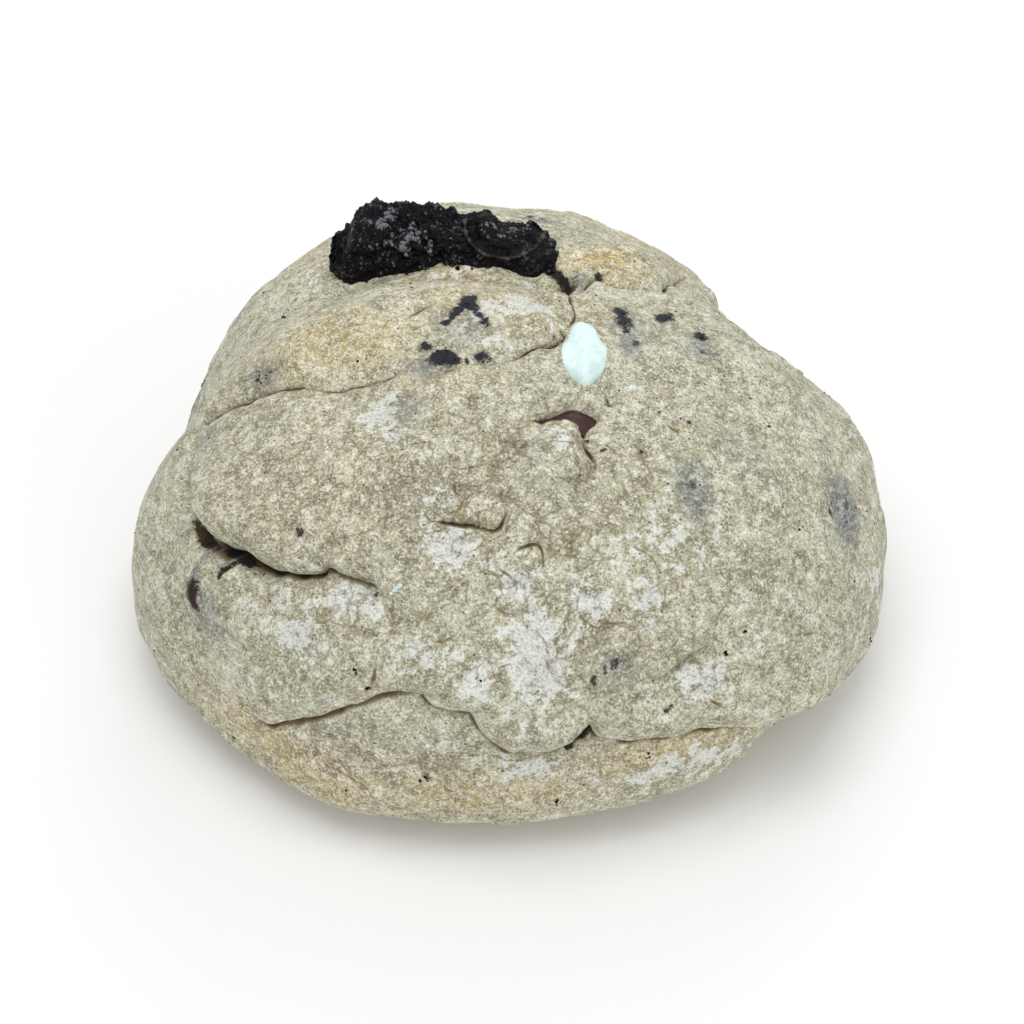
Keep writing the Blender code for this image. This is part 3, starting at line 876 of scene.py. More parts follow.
@dataclass(frozen=True)
class GrainFinish:
    """Sugar grains and dough crumbs baked onto the skin, a little paler than the dough."""

    low: str = "#c4bd9d"
    high: str = "#ece8d6"

    def build(self) -> bpy.types.Material:
        """Each grain takes its own shade, by where it lies."""
        f = Finish("sugar_grains")
        colour = f.tinted(linear(self.low), ((f.noise(0.8), 0.35, 0.65, 1.0, self.high),))
        return f.dressed({"Base Color": colour, "Roughness": 0.55, "IOR": 1.5})


ORIGIN = np.array([-0.09, 0.94, 0.0])       # from the frame's origin to the ball's middle, mm

LOBES = (
    *rows(Lobe, drawn=False, table=(
        (-112, 24, 18, 18, -4.4), (130, 26, 24, 20, -5.6), (112, 19, 13, 10, -2.0),
        (-120, 26, 10, 8, 2.0), (-101, 12, 8, 6, -4.8), (-45, -12, 24, 13, 1.2),
        (-27, -9, 8, 6, 0.6), (-8, -14, 22, 12, 1.5), (47, -8, 7, 6, -2.0), (67, -3, 7, 6, 1.1),
        (80, 4, 16, 15, 0.8), (48, 6, 12, 10, 1.3), (-70, -4, 14, 12, 1.3),
        (-165, 42, 22, 18, 0.5),
    )),
    *rows(Lobe, table=(
        (-13.9, 24.0, 22, 7, 2.6, 6), (-28.0, 20.8, 9, 6, 1.0, 20), (-28.0, 4.1, 13, 9, 1.8, -12),
        (-11.3, 9.2, 14, 8, 0.6), (-31.2, -12.6, 8, 6, 1.2), (-20.3, -15.1, 10, 7, 0.9),
        (4.0, -21.5, 7, 9, 1.8), (-8.8, -22.2, 4, 3, 0.8), (33.5, -11.3, 15, 15, 1.2),
        (14.3, 32.1, 6.5, 3.6, 2.0, -8), (4.0, 15.0, 6, 4, 0.8), (-6.2, 15.0, 6, 4, 0.7, 10),
        (5.3, 7.9, 6, 4, 0.8), (-7.5, 32.1, 17, 3.4, -2.6, 2), (-6.5, 30.0, 9, 1.8, 1.7, 2),
        (-22.0, 28.8, 3.2, 2.2, -1.7), (5.8, 29.2, 2.6, 1.9, -2.1),
    )),
    *rows(Lobe, drawn=False, table=(
        (130, 24, 10, 9, -2.2), (140, -4, 14, 8, 1.2), (-150, 12, 16, 10, 1.4),
        (178, 18, 12, 7, -1.2),
    )),
)

# The laps' seams, the cracks between plates and hair cracks, from the top down
FOLDS = (
    Fold(((-39.9, 11.4, 1.2), (-37.9, 12.3, 1.1), (-34.4, 14.1, 0.9), (-31.6, 15.5, 0.9),
          (-28, 16.3, 0.9), (-22.6, 15.9, 0.7), (-20.3, 16.7, 0.7), (-17.8, 17.2, 0.7),
          (-14.9, 17.8, 0.6), (-13.3, 18.7, 0.4)), 0.9, 0.34, 0.9, 3.2, 0.4, 0.25, shade=0.65),
    Fold(((-12, 16.3, 0.5), (-9.8, 17.4, 0.7), (-7, 18.5, 0.8), (-3.7, 19.2, 0.6),
          (-0.2, 19.2, 0.8), (2.5, 20.6, 1.2), (4.8, 21.5, 1.8), (6.7, 22.6, 1.4),
          (7.9, 23.5, 1)), 0.9, 0.34, 0.6, 2.5, slide=0.2, shade=0.65),
    Fold(((-40.1, 10.8, 0.15), (-40.8, 7.3, 0.25), (-41.2, 4.1, 0.4), (-40.6, 0.9, 0.9),
          (-39.2, -2.3, 1.3), (-37, -4.2, 1.4), (-34.4, -5.5, 1.4), (-32.9, -6.8, 1.1),
          (-30.6, -7.7, 1), (-28.1, -8.3, 0.95), (-25.4, -8.2, 0.8), (-24.2, -7.3, 0.7),
          (-21.6, -8.2, 0.7), (-19, -9.2, 0.75), (-16.6, -10.6, 0.7)),
         3.4, 0.7, 1.5, 3.6, 0.9, 0.8, shade=0.85),
    Fold(((-40.3, -1.5, 0.5), (-39.4, -3.1, 1), (-37.7, -4.3, 0.8), (-35.7, -5.2, 0.8),
          (-34.1, -6.2, 1.2), (-32.7, -7.2, 0.9), (-31.4, -8.1, 0.3)), 2.2, 0.5),
    Fold(((-40.4, -7.6, 0.5), (-40.8, -9.2, 1), (-40.9, -10.9, 1), (-40.3, -12.8, 0.5)),
         1.2, 0.28, shade=0.5),
    Fold(((-34.9, -6.1, 0.6), (-36.0, -7.1, 1), (-37.0, -8.3, 1), (-37.6, -9.4, 0.5)),
         1.2, 0.28, shade=0.5),
    Fold(((-34.3, -24.1, 0.5), (-33, -26.2, 0.8), (-30.8, -27.2, 1), (-29.2, -27.3, 1),
          (-27.1, -26.7, 0.9), (-24.7, -26.3, 0.9), (-20.3, -24.7, 0.7), (-16.9, -23.5, 0.8),
          (-14.2, -23.3, 0.7), (-11.1, -23.2, 0.7), (-9.8, -24.5, 0.8), (-7.6, -25.3, 0.6),
          (-4.9, -25.5, 0.7), (-3.4, -28.3, 0.8), (-0.3, -30.6, 1), (3.1, -31.2, 1.1),
          (6, -30.8, 1.3), (7.4, -30, 1.6), (8.9, -29, 1.6), (10.7, -27.2, 1.2)),
         1.7, 0.55, 1.2, 3.0, 0.5, 0.9, shade=0.72),
    Fold(((10.2, -27.4, 1.2), (12, -28.8, 1), (13.5, -29.2, 0.9), (16.2, -29.4, 0.9),
          (21.3, -28.6, 0.9), (24, -27.9, 0.9), (26.9, -27.6, 0.9), (31.7, -27.2, 1),
          (35.2, -26, 1.3), (38, -24.9, 1.0), (41.2, -24.1, 0.5), (44.6, -21.8, 0.1)),
         1.5, 0.5, 1.2, 3.0, 0.6, 0.9, shade=0.72),
    Fold(((11.3, -25.6, 1), (11.7, -22.8, 0.8), (11.5, -20.1, 0.4)), 0.9, 0.4, 0.4, 2.0),
    Fold(((-17.6, -22.8, 0.8), (-17, -20.5, 0.7), (-17.1, -18.1, 0.4)), 0.8, 0.35),
    Fold(((2.2, 11.7, 0.6), (4.4, 12.2, 1.2), (6.6, 12.7, 1.6), (8.5, 13.2, 1.8),
          (10.4, 12.4, 1.6), (12, 12.2, 0.8)), 1.7, 0.55, 0.4, 2.0, slide=0.3),
    Fold(((8.7, 14.4, 0.8), (9.7, 12.4, 1.6), (9.9, 10.5, 1.5), (9.7, 8.8, 1),
          (10.7, 7.2, 0.9), (11.3, 5.9, 0.8), (10.3, 4.6, 0.6)), 1.3, 0.45),
    Fold(((-13.4, -0.9, 0.6), (-9.9, -1.2, 0.9), (-6.1, -1.7, 1.1), (-3.4, -2.2, 1.1),
          (-1.6, -1.7, 1), (-0.1, -0.3, 0.7), (1.2, 0.1, 0.4)),
         1.1, 0.45, 0.7, 2.4, slide=0.3, shade=0.7),
    Fold(((-2.6, 6.4, 0.4), (-6.1, 4.6, 0.8), (-6.6, 2.3, 0.9), (-5.8, 1, 0.9),
          (-6.9, -1.4, 0.7)), 0.8, 0.32, shade=0.75),
    Fold(((-0.4, -6.4, 0.4), (0.4, -5.6, 0.8), (2.2, -4.6, 1), (3.9, -5, 1), (4.4, -7.4, 0.8),
          (4.8, -9, 0.4)), 0.8, 0.4, shade=0.7),
    Fold(((-14.7, -11.5, 0.6), (-11.9, -11.5, 0.8), (-8.7, -11, 0.9), (-6.1, -10.1, 0.9),
          (-3.4, -10.3, 0.5)), 0.8, 0.42, 0.5, 2.2, shade=0.6),
    Fold(((28.1, -7.2, 0.5), (28.4, -10.4, 0.8), (26.9, -14.2, 0.9), (26, -16.9, 1),
          (23, -19.5, 1), (21.1, -20.5, 0.9), (20.2, -22.1, 0.6)),
         1.0, 0.5, -0.2, 2.5, -0.7, shade=0.7),
    Fold(((4.4, -16.5, 0.5), (4.9, -19.6, 0.9), (7, -22.3, 1), (8.4, -23.2, 0.5)),
         0.7, 0.4, 0.3, 2.0, shade=0.6),
    Fold(((24.7, -22.4, 0.7), (25.8, -24.2, 1), (28, -25, 0.6)), 0.8, 0.35, shade=0.7),
    Fold(((36.6, -16.5, 0.6), (38.3, -16, 1), (40.1, -15.4, 0.6)), 0.6, 0.3, shade=0.8),
    Fold(((8.8, 28.2, 0.9), (10.2, 29.5, 1), (11.7, 29.9, 1), (13.7, 29, 0.9),
          (17.5, 28.7, 0.9), (19.6, 28.5, 1.1), (21.5, 29.6, 0.8), (23.3, 31, 0.4)),
         1.2, 0.4, 0.5, 2.2, slide=0.3, shade=0.8),
    Fold(((6.4, 30.9, 0.6), (7.4, 29.3, 1), (8.0, 27.6, 0.9)), 2.4, 0.6, shade=1.3),
    Fold(((12.2, 15.9, 0.9), (13, 14.6, 1), (12.9, 13.3, 0.8)), 0.9, 0.38, shade=0.75),
    Fold(((18.8, 12.4, 0.5), (20.4, 11.3, 0.8), (22, 10.4, 0.9), (21.3, 9.4, 0.7)),
         0.6, 0.3, shade=0.7),
    Fold(((-21.6, -33.5, 0.6), (-20.1, -34.6, 1), (-18.4, -35.5, 0.6)), 0.6, 0.3, shade=0.8),
    Fold(((-0.1, -36.8, 0.5), (1.5, -35.6, 0.8), (3.1, -35.1, 0.9), (6, -35.8, 0.9),
          (7.6, -33.1, 0.5)), 0.6, 0.35, shade=0.7),
    Fold(((-14.3, 24.4, 0.9), (-12.9, 25.5, 1), (-11.3, 26.2, 0.7), (-9.8, 27.0, 0.4),
          (-8.3, 27.5, 0.2)), 0.5, 0.2),
    Fold(((7.6, 23.6, 0.9), (8.5, 25.2, 0.7), (8.2, 26.6, 0.7), (7.9, 27.8, 1)),
         1.0, 0.35, 0.7, 2.0, 0.3, 0.2, shade=0.9),
    Fold(((38.9, 15.4, 0.5), (37, 17.3, 1), (35.2, 18.2, 1.1), (32.9, 20.1, 1.1),
          (29.7, 22.9, 1), (26.7, 25.8, 0.8), (24.8, 28.1, 0.5)),
         1.4, 0.8, 0.7, 4.0, 0.8, 0.5, shade=0.3),
    Fold(((4.7, 5.9, 0.4), (6.6, 4.1, 0.7), (10.4, 3.8, 0.7), (13, 1.5, 0.4)),
         0.4, 0.28, shade=0.55),
    Fold(((-9.8, -6.2, 0.4), (-4.9, -5.6, 0.7), (-1.1, -6.9, 0.7), (1.5, -10, 0.8),
          (-1.1, -12.8, 0.5)), 0.4, 0.28, shade=0.55),
    Fold(((-16.5, -16.4, 0.4), (-12.6, -15.1, 0.8), (-8.8, -16.4, 0.8), (-4.9, -14.9, 0.6),
          (-0.4, -16.4, 0.4)), 0.4, 0.28, shade=0.55),
    Fold(((11.7, -6.2, 0.4), (14.9, -4.2, 0.7), (18.8, -6.2, 0.7), (19.4, -10, 0.5)),
         0.4, 0.28, shade=0.55),
    Fold(((9.8, -16.4, 0.4), (13, -14.5, 0.8), (16.9, -15.4, 0.7), (19.4, -17.7, 0.4)),
         0.4, 0.28, shade=0.55),
    Fold(((-10.1, 7.3, 0.4), (-12, 4.7, 0.7), (-10.1, 2.8, 0.7), (-6.9, 3.8, 0.5)),
         0.4, 0.28, shade=0.55),
    Fold(((14.3, -16.4, 0.5), (18.1, -24.1, 0.7), (23.3, -24.9, 0.5)), 0.4, 0.28, shade=0.5),
    # Behind the cookie, by azimuth and height
    Fold(((150, -6, 0.5), (165, -3, 1.0), (180, -7, 0.9), (-165, -4, 1.0), (-148, -6, 0.8),
          (-132, -2, 0.5)), 1.5, 0.55, -1.1, 3.0, -0.5, shade=0.8, drawn=False),
    Fold(((118, 8, 0.5), (132, 14, 1.0), (148, 13, 1.0), (160, 19, 0.9), (172, 22, 0.4)),
         1.4, 0.55, 0.9, 3.4, 0.4, shade=0.8, drawn=False),
    Fold(((-150, 30, 0.4), (-163, 27, 0.8), (-172, 31, 0.8), (175, 29, 0.4)),
         0.7, 0.35, 0.4, 2.2, shade=0.7, drawn=False),
    Fold(((-118, -3, 0.5), (-126, 4, 0.9), (-140, 6, 0.8), (-150, 3, 0.5)),
         0.8, 0.4, 0.4, 2.4, shade=0.7, drawn=False),
    Fold(((96, 2, 0.5), (104, -3, 0.9), (116, -2, 0.8), (124, -5, 0.4)),
         0.8, 0.4, 0.4, 2.2, shade=0.7, drawn=False),
)

STRIPS = (
    Strip(((-36.9, -5.5, 0.9), (-38.0, -6.0, 1), (-39.2, -7.5, 1), (-39.6, -9.5, 1),
           (-39.3, -11.9, 0.8), (-38.4, -14.2, 0.3)), 1.0, 1.2),
)

DIMPLES = (
    Lobe((-33.9, -6.2), 1.5, 0.8, -2.6, turn=-38),      # the open mouth of the front fold
    Lobe((-38.8, -3.2), 1.3, 1.1, -1.6, turn=-50),
    Lobe((-38.2, -9.2), 3.4, 3.6, 1.7),                 # the skin over the left chip
    Lobe((-35.6, -8.0), 2.0, 2.0, 0.8),
    Lobe((3.6, 31.3), 4.4, 2.0, -1.35, turn=-12),       # the brow sinks toward the wafer's ends
    Lobe((-15.5, 31.2), 5.5, 2.0, -0.9, turn=8),
    Lobe((8.9, -28.9), 2.2, 0.7, -1.4, turn=35),
    Lobe((10.2, 12.0), 1.7, 1.1, -1.0),
    Lobe((38.6, -25.2), 3.2, 2.2, -1.4),                # the notch between the right lap and the foot
)

PATCHES = (
    *rows(Patch, Stain.TOAST, table=(
        (-22.5, 21.6, 12, 5.5, 0.60, 12), (-9.5, 17.2, 7, 2.6, 0.35),
        (-9.0, 29.5, 12, 1.8, 0.45, 2), (12.0, 32.0, 4.6, 3.0, 1.3, -8),
        (17.5, 30.9, 4.5, 1.8, 0.5, -8), (23.3, 28.5, 4, 3, 0.25), (-28, -32, 14, 4.4, 0.72, -22),
        (-4, -36.5, 16, 3.4, 0.55), (-4.5, 31.0, 12, 1.6, 0.50), (-26, 4, 14, 10, 0.17),
        (-1, 27.0, 13, 5.5, 0.42, -8), (21, -31.5, 9, 3.5, 0.75, 10),
        (20, -32.5, 14, 3.0, 0.3, 10), (-4.4, -0.3, 2.6, 1.5, 0.5),
    )),
    *rows(Patch, Stain.TOAST, drawn=False, table=(
        (160, 22, 14, 9, 0.5), (-140, 24, 12, 9, 0.4), (100, 8, 10, 8, 0.3),
    )),
    # Pale flour; the first three rows, along the brow's crest and plain, are painted light
    *rows(Patch, Stain.BLOOM, table=(
        (-4.5, 30.6, 12, 1.6, 0.45), (1.8, 26.3, 6.0, 3.4, 0.75), (1.5, 26.5, 4.0, 3.0, 0.60),
        (-5.2, 24.4, 2.4, 2.4, 0.55), (-7.5, -4.2, 3.4, 2.6, 0.9), (1.5, -8.7, 3.0, 2.4, 0.85),
        (4, -19, 4.2, 6.0, 1.0), (-30.5, -11.0, 4.0, 3.0, 0.45), (-26.7, -16.4, 4.5, 3.4, 0.75),
        (18.1, -11.3, 3.6, 3.0, 0.6), (24.6, -21.5, 4.2, 2.6, 0.85),
        (22.5, -32.5, 9.0, 3.0, 0.75, 12), (33.5, -15.5, 6.0, 5.0, 0.32),
        (44.0, -9.0, 4.0, 8.0, 0.28), (9.3, 36.3, 6.0, 2.2, 0.32), (-25.3, 30.8, 5.0, 3.2, 0.30),
        (-16.5, 13.1, 2.4, 3.0, 0.9), (-14.4, 9.6, 2.4, 2.2, 0.7), (-6.2, 1.5, 4.5, 3.0, 0.5),
        (6.6, 9.2, 2.6, 2.0, 0.7), (-26.7, -6.2, 5.5, 1.6, 0.35), (-20.3, -11.3, 4.0, 2.6, 0.8),
        (10.4, -11.3, 4.0, 3.4, 0.7), (-3.7, -21.5, 3.0, 3.0, 0.7), (-11.5, -18.5, 4.5, 2.4, 0.6),
        (2.5, -33.6, 4.2, 1.6, 0.7), (-8.0, -30.5, 4.2, 2.2, 0.5), (23.3, 4.2, 1.8, 2.4, 0.4),
        (20, -3, 7, 5, 0.4), (-2, 22.6, 2.0, 2.4, 0.45),
    )),
    *rows(Patch, Stain.BLOOM, drawn=False, table=(
        (72, 2, 7, 5, 0.55), (108, -2, 7, 5, 0.60), (128, 6, 5, 6, 0.55), (-128, -2, 8, 5, 0.60),
        (-95, 8, 6, 7, 0.50), (170, 6, 9, 6, 0.5), (-150, -2, 9, 5, 0.45),
    )),
    *rows(Patch, Stain.SMUDGE, table=(
        (-6.2, 23.6, 3.6, 3.0, 0.42), (-10.4, 18.4, 2.0, 1.6, 0.62), (16.0, 23.4, 3.4, 2.6, 0.40),
        (15.8, 21.2, 1.4, 1.6, 0.65), (24.6, 21.0, 2.2, 2.4, 0.50, -30),
        (-31.5, 17.4, 2.6, 1.9, 0.50, 10), (23.6, 2.6, 2.0, 3.4, 0.62), (43.1, 0.3, 2.5, 3.2, 1.0),
        (14.2, -20.3, 2.8, 2.2, 0.40), (-38.4, -12.8, 1.8, 2.4, 0.48),
        (-36.8, -15.2, 1.8, 1.4, 0.44), (-12.9, 13.0, 1.8, 2.6, 0.42), (3.4, 8.6, 2.8, 1.6, 0.28),
        (8.7, 29.4, 1.8, 1.6, 0.78), (3.9, 37.6, 3.4, 0.9, 0.55, -8), (-40.2, 4.6, 1.4, 5.0, 0.40),
        (-38.5, 9.4, 2.6, 2.0, 0.40), (-36.5, -5.6, 2.2, 1.2, 0.45), (-16.5, 30.2, 2.6, 0.8, 0.35),
        (30.5, 8, 5, 4, 0.22), (-39.2, -9.4, 0.9, 3.6, 0.80), (-36.2, -4.8, 1.0, 0.8, 0.60),
    )),
    *rows(Patch, Stain.SMUDGE, drawn=False, table=(
        (172, 12, 3.4, 2.6, 0.6), (-160, 18, 2.6, 2.2, 0.6), (118, 14, 2.8, 2.4, 0.55),
        (-112, 6, 2.6, 2.2, 0.55),
    )),
    # Painted shade on darker places of the crumb
    *rows(Patch, Stain.DULL, table=(
        (-23, -31.5, 9, 4, 0.45, -18), (-12.0, 2.7, 6.5, 4.2, 0.72), (33.5, 3.0, 6, 8, 0.26),
        (30.3, 15.6, 4, 3.5, 0.32), (-28.7, 4.0, 8, 6, 0.45), (12.6, 32.4, 3.6, 2.4, 0.40, -8),
    )),
    # The cavity beside the front fold's mouth, in brown and painted shade
    *rows(Patch, Stain.CLEFT, table=(
        (-38.9, -2.9, 1.2, 1.5, 0.75, 25),
    )),
)

# Small dark marks: wafer crumbs in the skin, melted chocolate, and the toasted brown and painted shade
# inside open cracks
SPOTS = (
    *rows(Spot, Ink.COCOA, table=(
        (-5.2, 27.2, 0.86, 1.3), (-5.9, 26.5, 0.60, 1.25), (-6.6, 25.7, 0.52, 1.2),
        (-7.3, 25.0, 0.48, 1.15), (-8.0, 24.3, 0.46, 1.1), (-4.5, 26.4, 0.60, 1.25),
        (-3.8, 25.5, 0.58, 1.2), (-3.1, 24.6, 0.54, 1.15), (-2.6, 23.8, 0.44, 1.0),
        (-9.2, 19.8, 0.90), (-8.2, 20.0, 1.00), (-7.3, 19.6, 0.85), (-10.6, 21.2, 0.73),
        (-3.4, 19.9, 0.92), (-5.4, 19.3, 0.40, 0.8), (14.3, 25.7, 1.00), (14.8, 24.4, 1.05),
        (14.9, 23.3, 0.60, 0.8), (19.3, 24.8, 0.80, 0.95), (20.4, 25.0, 0.80), (24.8, 22.5, 0.70),
        (24.9, 20.4, 0.45, 0.7), (16.4, 21.6, 0.60, 0.75), (11.5, 30.0, 0.75),
        (8.6, 29.8, 0.50, 0.6), (41.1, 0.1, 0.50), (43.4, 1.0, 0.55, 0.6),
        (13.6, -19.3, 0.60, 0.7), (12.6, -20.4, 0.40, 0.7), (2.9, 37.9, 0.50, 0.9),
        (4.2, 37.6, 0.45, 0.7), (-32.0, 16.8, 0.50, 0.7), (-30.6, 18.0, 0.45, 0.65),
        (23.6, 3.6, 0.60, 0.6), (24.2, 1.2, 0.50, 0.55), (-39.6, -15.0, 0.50, 0.7),
    )),
    *rows(Spot, Ink.COCOA, drawn=False, table=(
        (170, 13, 1.0), (-158, 19, 0.9), (120, 13, 0.9), (-114, 8, 0.8),
    )),
    *rows(Spot, Ink.MILK, table=(
        (-26.7, -2.6, 0.75, 0.9), (11.0, -21.5, 0.50, 0.8), (20.5, -25.2, 0.60, 0.7),
        (21.6, 11.6, 0.60, 0.5), (12.2, 7.9, 0.40, 0.8), (17.1, 7.8, 0.35, 0.8),
        (-10.4, -34.0, 0.60, 0.6), (9.9, 8.9, 0.45, 0.8), (-40.5, -8.6, 0.55),
        (-40.75, -9.7, 0.72), (-40.8, -10.8, 0.74), (-40.4, -11.9, 0.60), (-35.1, -6.4, 0.45),
        (-35.8, -7.0, 0.45), (-36.4, -7.7, 0.45), (-37.0, -8.5, 0.45),
    )),
    # Toasted brown with painted shade, inside cracks
    *rows(Spot, Ink.CRUST_AND_SHADE, table=(
        (-40.0, -1.2, 0.45, 0.9), (-39.6, -2.2, 0.75), (-38.8, -3.2, 0.95), (-37.9, -4.1, 0.90),
        (-36.8, -4.8, 0.60, 0.8), (-31.3, -7.9, 0.40, 0.8), (6.9, 23.0, 0.50, 0.7),
        (5.9, 22.4, 0.50, 0.7), (3.0, -4.4, 0.60, 0.6), (13.0, 13.6, 0.55, 0.6),
    )),
    # Painted shade inside open cracks
    *rows(Spot, Ink.HOLE_SHADE, table=(
        (-38.3, -4.0, 0.50, 0.7), (-35.3, -5.2, 0.70, 0.9), (-34.6, -5.6, 0.85),
        (-33.8, -6.2, 0.90), (-33.0, -6.8, 0.65), (6.6, 30.1, 0.80), (5.6, 30.9, 0.70),
        (7.4, 29.1, 0.75), (7.9, 28.2, 0.60), (9.4, -28.4, 0.70), (8.7, -29.1, 0.80),
        (7.8, -29.8, 0.70), (10.3, -27.6, 0.55), (-16.9, -10.7, 0.40, 0.9),
    )),
)

# How much wider a stain reaches than the half widths of its strong part
STAIN_REACH = {Stain.SMUDGE: 1.35}

# Where the skin is wrinkled and cracked: the front's middle, less toward the brow and the cheeks
ROUGH = (
    Lobe((-2, -8), 26, 17, 0.9), Lobe((6, 9), 14, 8, 0.5), Lobe((-28, -15), 10, 9, 0.4),
    Lobe((18, -18), 16, 9, 0.3), Lobe((-2, -34), 26, 6, 0.6),
    Lobe((-172, 8), 22, 14, 0.8, drawn=False), Lobe((118, 4), 14, 12, 0.7, drawn=False),
    Lobe((-125, 2), 14, 10, 0.7, drawn=False),
)


@dataclass(frozen=True)
class Chip:
    """A chocolate chip: its node, place, half sizes, how far its middle lies under the skin."""

    node: str
    place: Place
    half: tuple[float, float, float]
    sunk: float
    milk: bool              # milk chocolate, not white
    facing: float = 0.0     # 0 lies flat in the skin, 1 faces the viewer
    drawn: bool = True
    lumpy: float = 0.05
    covered: bool = False   # under the skin but for cracks in it
    grid: int = 26
    creep: float = 0.35     # how far the dough rises round the rim, mm
    hollow: float = 1.6     # how far it gives way under the chip, mm

    def axes(self, form: DoughForm) -> tuple[Points, Points]:
        """Its middle, and its right, up and outward directions as rows."""
        d = form.place(self.place, self.drawn)
        out = unit(form.normal(d) * (1 - self.facing) + BACK * self.facing)
        lean = RIGHT if abs(out[0]) < 0.9 else UP
        right = unit(lean - out * (lean @ out))
        return form.point(d[None])[0] - out * self.sunk, np.array([right, np.cross(out, right), out])

    def seat(self, surface: Surface) -> None:
        """Hollows the dough under the chip and lets it creep up a little round the rim."""
        if self.covered:
            return
        middle, axes = self.axes(surface.form)
        r = (surface.ragged - middle) @ axes.T
        half = np.array(self.half)
        level = np.sqrt(np.clip(1 - (self.sunk / half[2]) ** 2, 0.15, 1))
        rim = np.hypot(r[:, 0] / half[0], r[:, 1] / half[1]) / level
        near = np.abs(r[:, 2]) < 4 * half[2]
        creep = self.creep * np.exp(-((rim - 1.12) / 0.16) ** 2)
        hollow = -self.hollow * (1 - smooth(0.75, 1.02, rim))
        surface.outward += np.where(near, creep + hollow, 0.0)

    def build(self, form: DoughForm, finish: bpy.types.Material, seed: int) -> bpy.types.Object:
        """Builds the chip as a ball of its half sizes, with a slightly lumpy skin."""
        d, squares = ball_grid(self.grid)
        middle, axes = self.axes(form)
        lumps = 1 + self.lumpy * (layered(d * 4 + seed * 9.0, 3.2, 2, Seed.CHIP + seed) - 0.3)
        flat = 1 - 0.10 * np.exp(-((d[:, 2] - 1) / 0.35) ** 2)
        points = (d * (lumps * flat)[:, None] * np.array(self.half)) @ axes + middle + ORIGIN
        piece = make_piece(self.node + "_look", points, squares)
        piece.data.materials.append(finish)
        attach(piece, BODY)
        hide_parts(self.node)
        return piece


CHIPS = (
    Chip("white_chip_front", (9.6, 19.6), (3.8, 5.2, 2.6), 1.8, False, facing=0.5, lumpy=0.24),
    Chip("milk_chunk_centre", (9.0, 12.4), (3.4, 2.4, 2.0), 2.6, True),
    Chip("milk_chip_left", (-38.4, -9.2), (3.2, 3.4, 2.2), 2.3, True, covered=True),
    Chip("white_chip_side", (36.2, 19.6), (3.7, 2.8, 2.2), 1.8, False),
    Chip("white_chip_rear", (160, 6), (4.2, 3.8, 2.6), 1.7, False, drawn=False),
    Chip("milk_chip_rear", (-128, 10), (3.9, 3.6, 2.4), 1.6, True, drawn=False),
)


